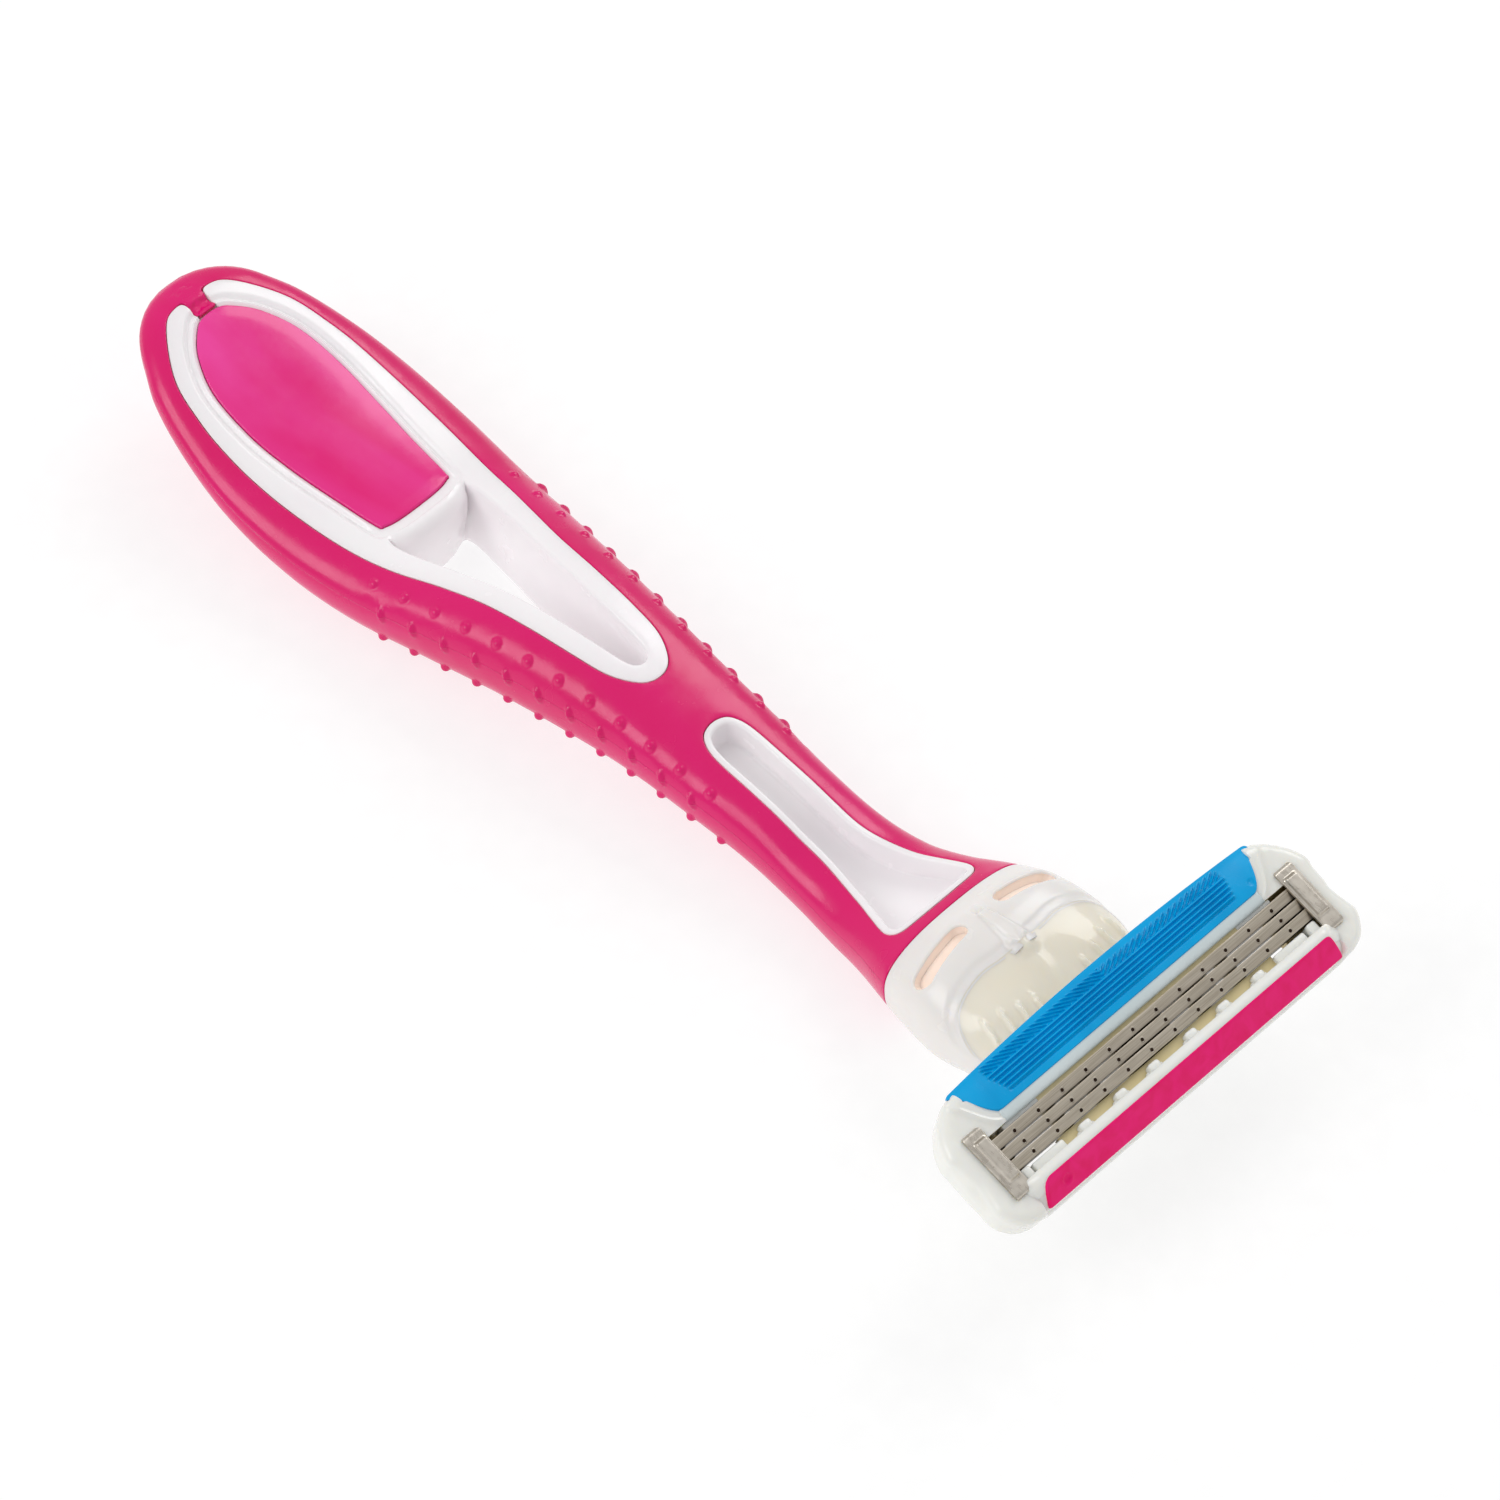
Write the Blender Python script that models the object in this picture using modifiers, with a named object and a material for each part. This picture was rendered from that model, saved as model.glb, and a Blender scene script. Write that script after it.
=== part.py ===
"""Cartridge razor with a pivoting three-blade head, as separate named solids.

+Y runs from the handle's tail to the head, +Z is up, and the razor rests on z = 0.
Every length below is in millimetres; MM turns it into metres where a mesh is made.
Pieces of the head are drawn in the face frame: x along the blades, y towards the
cap side, z out of the shaving face, with the middle blade at the origin. That frame
hangs on an empty whose origin is the head's pivot axis.
"""

import math

import bmesh
import bpy
import numpy as np
from mathutils import Matrix, Vector

MM = 0.001

# ---- Driving dimensions ---------------------------------------------------------

GAP = 0.2            # between the core and the soft skin moulded round it
FINE_GAP = 0.05      # between small metal pieces that touch
SKIN = 1.5           # thickness of the soft skin
SHELL_WALL = 1.3     # wall of the neck shell

# The body's outer surface, from the tail to the end of the neck shell:
# (y, half width, top, height of the widest point, bottom)
BODY = [
    (-63.7, 6.2, 13.85, 11.75, 9.4),
    (-59.7, 7.1, 13.3, 11.1, 8.7),
    (-55.7, 9.15, 12.4, 9.75, 6.9),
    (-49.7, 10.8, 10.9, 8.0, 4.7),
    (-43.7, 11.6, 9.55, 6.4, 2.5),
    (-36.7, 11.6, 8.7, 5.3, 0.4),
    (-29.7, 10.9, 8.6, 5.0, -0.5),
    (-21.7, 9.65, 10.1, 5.5, 0.3),
    (-13.7, 8.4, 11.05, 6.3, 1.2),
    (-5.7, 7.3, 11.0, 6.5, 1.9),
    (1.3, 6.5, 10.1, 6.3, 2.2),
    (8.3, 6.0, 9.1, 5.7, 1.8),
    (15.3, 5.5, 8.1, 4.7, 0.9),
    (21.3, 5.65, 6.75, 3.9, 0.0),
    (26.3, 6.3, 6.85, 3.7, -0.3),
    (30.3, 7.2, 8.0, 4.6, 0.2),
    (34.3, 8.6, 9.5, 5.9, 1.0),
    (38.3, 9.6, 11.9, 6.2, 1.3),
    (42.3, 10.1, 12.1, 6.3, 1.6),
    (46.3, 9.7, 11.3, 6.8, 2.5),
    (50.3, 8.5, 9.7, 6.5, 3.4),
    (52.3, 7.7, 9.0, 6.3, 3.7),
]
SQUARENESS = 2.6     # exponent of the cross-section; 2 is an ellipse
TAIL_ROUND = 5.0     # length over which the tail rounds off
TAIL_Y = BODY[0][0]
DEEP_Z = -10.0       # how far down the forms that cut pocket floors reach
SEAM_Y = 34.6        # where skin and neck shell meet, on the top centre line
SEAM_SIDE = 0.003    # how fast the seam runs forward with x squared
SEAM_DROP = 0.10     # and how fast it runs forward below the top
NECK_END_Y = 51.5

# Half outlines seen from above: (y, half width) from the tail side to the head side.
RING = [(-60.4, 1.6), (-59.5, 3.9), (-55.2, 7.0), (-50.7, 8.2), (-46.7, 8.65), (-41.7, 8.7), (-36.7, 8.4),
        (-32.2, 7.9), (-26.7, 7.0), (-22.1, 5.95), (-17.7, 5.05), (-12.7, 4.45), (-7.7, 3.9),
        (-4.0, 3.3), (-1.6, 2.1), (-0.6, 0.8)]
PALM_PAD = [(-57.9, 1.0), (-57.1, 2.3), (-55.2, 3.95), (-51.7, 5.4), (-46.7, 5.8), (-41.7, 5.45), (-36.7, 4.85),
            (-32.0, 4.3), (-31.4, 3.9), (-31.0, 2.0)]
WINDOW = [(-29.3, 2.0), (-30.0, 4.3), (-29.6, 4.75), (-28.5, 4.8), (-26.7, 4.6), (-22.1, 3.75), (-17.7, 2.9), (-12.7, 2.25),
          (-7.7, 1.7), (-3.9, 1.2), (-2.7, 0.5)]
RECESS = [(6.6, 0.5), (7.1, 1.25), (8.8, 1.7), (13.3, 1.75), (18.3, 1.8), (22.3, 1.95), (26.9, 2.95), (29.6, 3.85),
          (31.7, 4.55), (32.3, 4.3)]
ISLAND_DEPTH = 2.6   # how far the core's ring and rims reach down, into the core below the skin
PAD_DEPTH = 1.6      # thickness of the palm pad
WINDOW_RIM = 1.4     # white rim round the window on the underside
RECESS_DEPTH = 2.7
RECESS_RIM = 0.7     # white rim between the skin and the recess wall
BRIDGE_WIDTH = 2.2   # soft bridge from the skin across the ring at the tail
BRIDGE_END_Y = -58.3 # it stops short of the palm pad

# Grip beads on each flank: rows by their place round the section, in degrees above
# the widest point, with the y of the first bead and the number of beads.
BEAD_PITCH = 3.46
BEAD_ROWS = [(38.0, -27.7, 12), (9.5, -25.5, 11), (-22.0, -25.8, 12)]
BEAD_RADIUS = 0.55
BEAD_STRETCH = (1.0, 1.5, 1.0)   # the middle row's beads are longer
BEAD_STAND = 0.1     # how far a bead's centre stands outside the skin

# Neck shell
SLOT_X = (2.1, 8.4)
SLOT_Y = 37.9
SLOT_BOW = 0.014     # how fast the slots run forward with x squared
SLOT_WIDTH = 1.3
SPIGOT_END_Y = 41.2
SPIGOT_CLEAR = 0.35
ARM_X = (4.4, 6.9)
ARM_THICK = 3.1

# Head: the face frame, and the pivot in it
FACE_Y = 58.3
FACE_Z = 14.38
FACE_TILT = math.radians(-18.4)
PIVOT_FACE = Vector((0.0, -1.0, -6.4))
PIN_RADIUS = 0.8
PIN_CLEAR = 0.08
BOSS_RADIUS = 1.55
LUG_X = (7.3, 9.2)

HOUSING_HALF = 22.3
HOUSING_Y = (-7.0, 5.8)
HOUSING_CORNER = 4.2
HOUSING_Z = (-4.4, -0.35)
BLADE_POCKET_HALF = 20.2
BLADE_POCKET_Y = (-2.15, 2.2)
BLADE_POCKET_Z = -3.25
RINSE_HALF = 16.9
RINSE_Y = (-1.9, 2.7)
RIB_X = (2.3, 6.4, 10.8)
RIB_WIDTH = 1.1

BLADE_PITCH = 1.17
BLADE_HALF = 19.9
BLADE_WIDTH = 1.33
BLADE_THICK = 0.12
BLADE_SLOPE = math.radians(-20.0)
BLADE_EDGE_Z = -0.3
SUPPORT_THICK = 0.22
SUPPORT_LEG_Z = -2.8

CLIP_X = (18.4, 20.4)
CLIP_HALF = 3.5
CLIP_THICK = 0.25
CLIP_LEG = 0.35
CLIP_BOTTOM = -4.75

GUARD_HALF = 18.8
GUARD_INNER_Y = -3.2
GUARD_INNER_HALF = 15.2
GUARD_OUTER_Y = (-7.75, -7.05)   # at the middle and at the ends
GUARD_THICK = 1.3
FIN_Y = (-4.4, -4.85, -5.3, -5.75, -6.2)
FIN_HEIGHT = 0.22
FIN_HALF = 14.5

STRIP_TOP = Vector((0.0, 3.76, 1.05))
STRIP_FOOT = Vector((0.0, 5.82, -1.06))
STRIP_HALF = (16.9, 18.4)
STRIP_THICK = 0.9

# Return plunger: the tongue under the housing swings past the point below the pivot
CAM_RADIUS = 3.2
CAM_LEAD = math.radians(20.0)
CAM_NOSE = 1.0
TONGUE_HALF = 1.8
PLUNGER_HALF = (1.5, 1.1)
PLUNGER_BACK_Y = 44.0
STEM_RADIUS = 0.7
SPRING_RADIUS = 1.25
SPRING_WIRE = 0.2
SPRING_TURNS = 7
SPRING_BACK_Y = 36.6
BORE_RADIUS = 1.75

COLORS = {
    "white": ((0.80, 0.76, 0.79), 0.35, 0.0),
    "grip": ((0.76, 0.03, 0.18), 0.45, 0.0),
    "pad": ((0.80, 0.10, 0.33), 0.35, 0.0),
    "shell": ((0.80, 0.78, 0.72), 0.3, 0.0),
    "housing": ((0.78, 0.77, 0.74), 0.3, 0.0),
    "guard": ((0.005, 0.28, 0.62), 0.35, 0.0),
    "strip": ((0.76, 0.03, 0.16), 0.6, 0.0),
    "steel": ((0.42, 0.38, 0.31), 0.3, 1.0),
    "clip": ((0.38, 0.35, 0.30), 0.4, 1.0),
    "pin": ((0.55, 0.55, 0.55), 0.35, 1.0),
    "plunger": ((0.75, 0.75, 0.72), 0.45, 0.0),
}


# ---- Curves and sections --------------------------------------------------------

def smooth_value(rows, column, y):
    """The value of a station column at y, on a smooth curve through the stations."""
    ys = [row[0] for row in rows]
    values = [row[column] for row in rows]
    y = min(max(y, ys[0]), ys[-1])
    i = min(max(int(np.searchsorted(ys, y)) - 1, 0), len(ys) - 2)

    def slope(k):
        low, high = max(k - 1, 0), min(k + 1, len(ys) - 1)
        return (values[high] - values[low]) / (ys[high] - ys[low])

    step = ys[i + 1] - ys[i]
    t = (y - ys[i]) / step
    return (
        (1 + 2 * t) * (1 - t) ** 2 * values[i]
        + t * (1 - t) ** 2 * step * slope(i)
        + t * t * (3 - 2 * t) * values[i + 1]
        - t * t * (1 - t) * step * slope(i + 1)
    )


def section_point(y, angle, inset=0.0, deep=False):
    """(x, z) on the body's cross-section at y; angle 0 is the widest point at +X.

    deep takes the sides straight down instead, for a form that ends a pocket's floor."""
    half, top, middle, bottom = (smooth_value(BODY, column, y) for column in (1, 2, 3, 4))
    half -= inset
    top -= inset
    bottom += inset
    from_tip = (y - TAIL_Y) / TAIL_ROUND
    round_off = math.sqrt(max(1 - (1 - min(from_tip, 1.0)) ** 2, 0.0))
    power = 2 / SQUARENESS
    c, s = math.cos(angle), math.sin(angle)
    x = half * round_off * math.copysign(abs(c) ** power, c)
    reach = top - middle if s > 0 else middle - bottom
    z = middle + reach * round_off * math.copysign(abs(s) ** power, s)
    if deep and s < 0:
        return x, DEEP_Z
    return x, max(z, inset)


def seam_y(x, z):
    """The seam between skin and neck shell runs forward down the flanks."""
    top = smooth_value(BODY, 2, SEAM_Y)
    return SEAM_Y + SEAM_SIDE * x * x + SEAM_DROP * max(top - z, 0.0)


def body_ring(share, start, end, inset=0.0, shift=0.0, deep=False, count=36):
    """One ring of the body's surface, a share of the way from start to end.

    start and end are each a y, or None for the seam. shift moves the seam's ring."""
    ring = []
    for k in range(count):
        angle = 2 * math.pi * (k + 0.5) / count
        y = SEAM_Y
        for _ in range(4):
            x, z = section_point(y, angle, inset, deep)
            seam = seam_y(x, max(z, 0.0)) + shift
            first = seam if start is None else start
            last = seam if end is None else end
            y = first + share * (last - first)
        ring.append(Vector((x, y, z)))
    return ring


def closed_curve(half_outline, per_span=2):
    """A closed outline in x and y, from the half outline (y, half width) and its mirror image."""
    side = [Vector((x, y)) for y, x in half_outline]
    points = [Vector((-p.x, p.y)) for p in reversed(side)] + side
    count = len(points)
    out = []
    for i in range(count):
        p0, p1, p2, p3 = (points[(i + k) % count] for k in (-1, 0, 1, 2))
        for step in range(per_span):
            t = step / per_span
            out.append(
                0.5 * (2 * p1 + (p2 - p0) * t + (2 * p0 - 5 * p1 + 4 * p2 - p3) * t * t
                       + (3 * p1 - p0 - 3 * p2 + p3) * t ** 3)
            )
    return out


def grown(outline, by):
    """The closed outline moved outwards by a distance along its normals."""
    area = sum(a.x * b.y - a.y * b.x for a, b in zip(outline, outline[1:] + outline[:1]))
    side = 1.0 if area > 0 else -1.0
    out = []
    for i, point in enumerate(outline):
        along = outline[(i + 1) % len(outline)] - outline[i - 1]
        normal = Vector((along.y, -along.x)).normalized() * side
        out.append(point + normal * by)
    return out


def rounded_rectangle(half_x, low_y, high_y, radius, steps=6):
    """Corner points of a rectangle with arcs of the given radius."""
    out = []
    corners = [(half_x, low_y, -90), (half_x, high_y, 0), (-half_x, high_y, 90), (-half_x, low_y, 180)]
    for x, y, start in corners:
        centre = Vector((x - math.copysign(radius, x), y + radius if y == low_y else y - radius))
        for k in range(steps + 1):
            turn = math.radians(start + 90 * k / steps)
            out.append(centre + radius * Vector((math.cos(turn), math.sin(turn))))
    return out


# ---- Scene, materials and mesh helpers ------------------------------------------

def clear_scene():
    for thing in list(bpy.data.objects):
        bpy.data.objects.remove(thing, do_unlink=True)


def new_collection(name):
    collection = bpy.data.collections.new(name)
    bpy.context.scene.collection.children.link(collection)
    return collection


clear_scene()
PARTS = new_collection("cartridge_razor")
CUTTERS = new_collection("cutters")
MATERIALS = {}


def material(name):
    if name not in MATERIALS:
        color, roughness, metallic = COLORS[name]
        made = bpy.data.materials.new(name)
        made.use_nodes = True
        made.diffuse_color = (*color, 1.0)
        shader = made.node_tree.nodes["Principled BSDF"]
        shader.inputs["Base Color"].default_value = (*color, 1.0)
        shader.inputs["Roughness"].default_value = roughness
        shader.inputs["Metallic"].default_value = metallic
        MATERIALS[name] = made
    return MATERIALS[name]


def object_from(name, bm, finish=None):
    """Turns a bmesh in millimetres into an object: a part with a finish, or a cutter without one."""
    bmesh.ops.recalc_face_normals(bm, faces=bm.faces[:])
    bmesh.ops.scale(bm, vec=(MM, MM, MM), verts=bm.verts[:])
    mesh = bpy.data.meshes.new(name)
    bm.to_mesh(mesh)
    bm.free()
    made = bpy.data.objects.new(name, mesh)
    if finish is None:
        CUTTERS.objects.link(made)
        made.hide_render = True
        made.display_type = "WIRE"
    else:
        PARTS.objects.link(made)
        mesh.materials.append(material(finish))
        mesh.shade_smooth()
        mesh.set_sharp_from_angle(angle=math.radians(35))
    return made


def boolean(target, other, operation):
    step = target.modifiers.new(other.name, "BOOLEAN")
    step.operation = operation
    step.object = other
    return step


def cut(target, *cutters):
    for cutter in cutters:
        boolean(target, cutter, "DIFFERENCE")


def join(target, *others):
    for other in others:
        boolean(target, other, "UNION")


def bevel(target, width, segments=2, angle=40):
    step = target.modifiers.new("bevel", "BEVEL")
    step.width = width * MM
    step.segments = segments
    step.limit_method = "ANGLE"
    step.angle_limit = math.radians(angle)
    return step


def loft(name, rings, finish=None):
    """A closed solid through rings that have the same number of points, with a fan at each end."""
    bm = bmesh.new()
    rows = [[bm.verts.new(p) for p in ring] for ring in rings]
    count = len(rows[0])
    for low, high in zip(rows, rows[1:]):
        for k in range(count):
            bm.faces.new((low[k], low[(k + 1) % count], high[(k + 1) % count], high[k]))
    for row in (rows[0], rows[-1]):
        centre = bm.verts.new(sum((v.co for v in row), Vector()) / count)
        for k in range(count):
            bm.faces.new((row[k], row[(k + 1) % count], centre))
    return object_from(name, bm, finish)


def prism(name, outline, low, high, finish=None):
    """A flat outline in x and y, raised from low to high in z."""
    bm = bmesh.new()
    face = bm.faces.new([bm.verts.new((p[0], p[1], low)) for p in outline])
    raised = bmesh.ops.extrude_face_region(bm, geom=[face])
    moved = [v for v in raised["geom"] if isinstance(v, bmesh.types.BMVert)]
    bmesh.ops.translate(bm, vec=(0, 0, high - low), verts=moved)
    return object_from(name, bm, finish)


def side_prism(name, outline, low, high, finish=None):
    """An outline in y and z, drawn out from low to high in x."""
    bm = bmesh.new()
    face = bm.faces.new([bm.verts.new((low, p[0], p[1])) for p in outline])
    raised = bmesh.ops.extrude_face_region(bm, geom=[face])
    moved = [v for v in raised["geom"] if isinstance(v, bmesh.types.BMVert)]
    bmesh.ops.translate(bm, vec=(high - low, 0, 0), verts=moved)
    return object_from(name, bm, finish)


def box(name, low, high, finish=None):
    bm = bmesh.new()
    bmesh.ops.create_cube(bm, size=1.0)
    low, high = Vector(low), Vector(high)
    bmesh.ops.scale(bm, vec=high - low, verts=bm.verts[:])
    bmesh.ops.translate(bm, vec=(low + high) / 2, verts=bm.verts[:])
    return object_from(name, bm, finish)


def cylinder(name, radius, centre, length, axis, finish=None, segments=32):
    bm = bmesh.new()
    bmesh.ops.create_cone(
        bm, cap_ends=True, segments=segments, radius1=radius, radius2=radius, depth=length
    )
    turn = Vector((0, 0, 1)).rotation_difference(Vector(axis)).to_matrix()
    bmesh.ops.rotate(bm, matrix=turn, verts=bm.verts[:])
    bmesh.ops.translate(bm, vec=centre, verts=bm.verts[:])
    return object_from(name, bm, finish)


def head_empty():
    """The pivot axis, turned to the rest angle of the face."""
    tilt = Matrix.Rotation(FACE_TILT, 4, "X")
    place = Matrix.Translation(Vector((0, FACE_Y, FACE_Z)) * MM) @ tilt
    pivot = place @ (PIVOT_FACE * MM)
    empty = bpy.data.objects.new("head_pivot_axis", None)
    PARTS.objects.link(empty)
    empty.location = pivot
    empty.rotation_euler = (FACE_TILT, 0, 0)
    return empty


HEAD = head_empty()
PIVOT = HEAD.location / MM


def on_head(*pieces):
    """Hangs pieces drawn in the face frame on the pivot's empty."""
    for piece in pieces:
        piece.data.transform(Matrix.Translation(-PIVOT_FACE * MM))
        piece.parent = HEAD
    return pieces[0]


# ---- Handle ---------------------------------------------------------------------

def tail_shares(count):
    """Shares that bunch at the start, where the tail rounds off."""
    return [1 - math.cos(math.pi / 2 * k / count) for k in range(1, count + 1)]


def handle_rings(inset, shift=0.0, deep=False):
    """Rings from the tail to the seam between skin and neck shell.

    The outer surface has fine rings, and what lies inside it has coarse ones."""
    fine = inset == 0.0
    around, steps, tail_steps = (36, 20, 6) if fine else (24, 14, 4)
    tip = TAIL_Y + inset
    tail_end = TAIL_Y + TAIL_ROUND + 1.0
    bend = 27.0

    def ring(share, start, end, moved=0.0):
        return body_ring(share, start, end, inset, moved, deep, around)

    rings = [ring(s, tip, tail_end) for s in tail_shares(tail_steps)]
    rings += [ring(k / steps, tail_end, bend) for k in range(1, steps + 1)]
    rings += [ring(k / 3, bend, None, shift) for k in range(1, 4)]
    return rings


def white_islands(clear):
    """Where the core comes up through the skin: ring, window rim and recess rim.

    clear widens them, to cut the skin."""
    ring = pocket(f"ring_prism_{clear}", grown(closed_curve(RING), clear), ISLAND_DEPTH)
    below = prism(
        f"window_rim_prism_{clear}", grown(closed_curve(WINDOW), WINDOW_RIM + clear), -4.0, 6.5
    )
    recess = pocket(
        f"recess_prism_{clear}", grown(closed_curve(RECESS), RECESS_RIM + clear), ISLAND_DEPTH
    )
    bridge_end = BRIDGE_END_Y if clear else BRIDGE_END_Y + 0.8
    half_bridge = BRIDGE_WIDTH / 2 + (0.0 if clear else GAP)
    bridge = box(
        f"bridge_gap_{clear}", (-half_bridge, TAIL_Y, 3.0), (half_bridge, bridge_end, 20.0)
    )
    cut(ring, bridge)
    join(ring, below, recess)
    return ring


def pocket(name, outline, depth):
    """A cutter for a pocket in the handle's top, whose floor lies an even depth below the surface."""
    walls = prism(name, outline, DEEP_Z + 1.0, 25.0)
    cut(walls, loft(f"{name}_floor", handle_rings(depth, 1.0, deep=True)))
    return walls


def handle_core():
    core = loft("handle_core", handle_rings(SKIN, 0.0), "white")
    islands = white_islands(0.0)
    boolean(islands, loft("outer_form", handle_rings(0.0, -GAP / 2)), "INTERSECT")
    join(core, islands)
    spigot_rings = [
        body_ring(k / 4, None, SPIGOT_END_Y, SHELL_WALL + SPIGOT_CLEAR, -4.0, count=24)
        for k in range(5)
    ]
    join(core, loft("spigot", spigot_rings))
    cut(core, prism("window_cutter", closed_curve(WINDOW), -5.0, 25.0))
    cut(core, pocket("pad_pocket", grown(closed_curve(PALM_PAD), GAP / 2), PAD_DEPTH + GAP / 2))
    cut(core, pocket("recess_pocket", closed_curve(RECESS), RECESS_DEPTH))
    bore_z = cam_centre().z
    cut(core, cylinder("spring_bore", BORE_RADIUS, (0, 40.0, bore_z), 8.0, (0, 1, 0)))
    return core


def bead_mesh():
    """All the grip beads, each half sunk in the skin."""
    bm = bmesh.new()
    for row, (angle, first, count) in enumerate(BEAD_ROWS):
        for k in range(count):
            y = first + k * BEAD_PITCH
            for side in (1, -1):
                x, z = section_point(y, math.radians(angle), -BEAD_STAND)
                stretch = BEAD_STRETCH if row == 1 else (1.0, 1.0, 1.0)
                bead = bmesh.ops.create_uvsphere(
                    bm, u_segments=6, v_segments=3, radius=BEAD_RADIUS
                )["verts"]
                bmesh.ops.scale(bm, vec=stretch, verts=bead)
                bmesh.ops.translate(bm, vec=(side * x, y, z), verts=bead)
    return object_from("grip_beads", bm)


def grip_overmould():
    skin = loft("grip_overmould", handle_rings(0.0, -GAP / 2), "grip")
    join(skin, bead_mesh())
    cavity = loft("core_space", handle_rings(SKIN - GAP, 3.0))
    cut(skin, cavity, white_islands(GAP))
    return skin


def palm_pad():
    pad = loft("palm_pad", handle_rings(0.0), "pad")
    outline = grown(closed_curve(PALM_PAD), -GAP / 2)
    boolean(pad, pocket("palm_pad_form", outline, PAD_DEPTH), "INTERSECT")
    return pad


# ---- Neck shell -----------------------------------------------------------------

def collar_slots():
    """Two slots in the collar's top, bowed like the seam."""
    slots = []
    for side in (1, -1):
        outline = []
        steps = 8
        for edge in (-0.5, 0.5):
            for k in range(steps + 1):
                share = k / steps if edge < 0 else 1 - k / steps
                x = SLOT_X[0] + share * (SLOT_X[1] - SLOT_X[0])
                y = SLOT_Y + SLOT_BOW * x * x + edge * SLOT_WIDTH
                outline.append((side * x, y))
        slots.append(prism(f"collar_slot_{side}", outline, 8.0, 16.0))
    return slots


def neck_arm(side):
    """An arm from the dome to a boss round the pivot."""
    low, high = sorted((side * ARM_X[0], side * ARM_X[1]))
    boss = [
        (PIVOT.y + BOSS_RADIUS * math.cos(t), PIVOT.z + BOSS_RADIUS * math.sin(t))
        for t in np.linspace(math.radians(-100), math.radians(80), 13)
    ]
    root_y = 46.0
    outline = boss + [(50.0, 8.4), (root_y, 7.6), (root_y, 7.6 - ARM_THICK), (51.0, 5.4)]
    return side_prism(f"arm_form_{side}", outline, low, high)


def neck_shell():
    def rings(inset, shift, end):
        steps, around = (8, 36) if inset == 0.0 else (5, 24)
        made = [
            body_ring(k / steps, None, end, inset, shift, count=around) for k in range(steps + 1)
        ]
        if inset == 0.0:
            made.append(body_ring(1.0, None, end + 0.6, 0.9, shift))
        return made

    shell = loft("neck_shell", rings(0.0, GAP / 2, NECK_END_Y - 0.6), "shell")
    cut(shell, loft("neck_hollow", rings(SHELL_WALL, -2.0, NECK_END_Y - SHELL_WALL - 0.8)))
    join(shell, neck_arm(1), neck_arm(-1))
    cut(shell, *collar_slots())
    for side in (1, -1):
        centre = (side * (ARM_X[0] + ARM_X[1]) / 2, PIVOT.y, PIVOT.z)
        cut(shell, cylinder(f"arm_bore_{side}", PIN_RADIUS + PIN_CLEAR, centre, 6.0, (1, 0, 0)))
    z = cam_centre().z
    half_x, half_z = PLUNGER_HALF
    cut(shell, box("plunger_way", (-half_x - 0.25, 46.0, z - half_z - 0.25),
                   (half_x + 0.25, 56.0, z + half_z + 0.25)))
    return shell


# ---- Return plunger and spring --------------------------------------------------

def cam_centre():
    """Centre of the tongue's round nose at rest, in the part's frame."""
    reach = Vector((0, math.sin(CAM_LEAD), -math.cos(CAM_LEAD))) * CAM_RADIUS
    return PIVOT + reach


def return_plunger():
    centre = cam_centre()
    front = centre.y - CAM_NOSE - 0.12
    half_x, half_z = PLUNGER_HALF
    body = box("return_plunger", (-half_x, PLUNGER_BACK_Y, centre.z - half_z),
               (half_x, front, centre.z + half_z), "plunger")
    bevel(body, 0.25)
    stem_length = 5.0
    stem_centre = (0, PLUNGER_BACK_Y - stem_length / 2 + 0.5, centre.z)
    join(body, cylinder("plunger_stem", STEM_RADIUS, stem_centre, stem_length, (0, 1, 0), segments=12))
    return body


def return_spring():
    """A coil spring round the plunger's stem, from the bore's floor to the plunger's back."""
    start, end = SPRING_BACK_Y, PLUNGER_BACK_Y - SPRING_WIRE - 0.1
    per_turn = 10
    total = SPRING_TURNS * per_turn
    z = cam_centre().z
    curve = bpy.data.curves.new("return_spring", "CURVE")
    curve.dimensions = "3D"
    spline = curve.splines.new("POLY")
    spline.points.add(total)
    for k, point in enumerate(spline.points):
        turn = 2 * math.pi * k / per_turn
        y = start + (end - start) * k / total
        at = Vector((SPRING_RADIUS * math.cos(turn), y, z + SPRING_RADIUS * math.sin(turn))) * MM
        point.co = (*at, 1.0)
    curve.bevel_depth = SPRING_WIRE * MM
    curve.bevel_resolution = 1
    curve.use_fill_caps = True
    curve.materials.append(material("steel"))
    made = bpy.data.objects.new("return_spring", curve)
    PARTS.objects.link(made)
    return made


# ---- Cartridge ------------------------------------------------------------------

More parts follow.
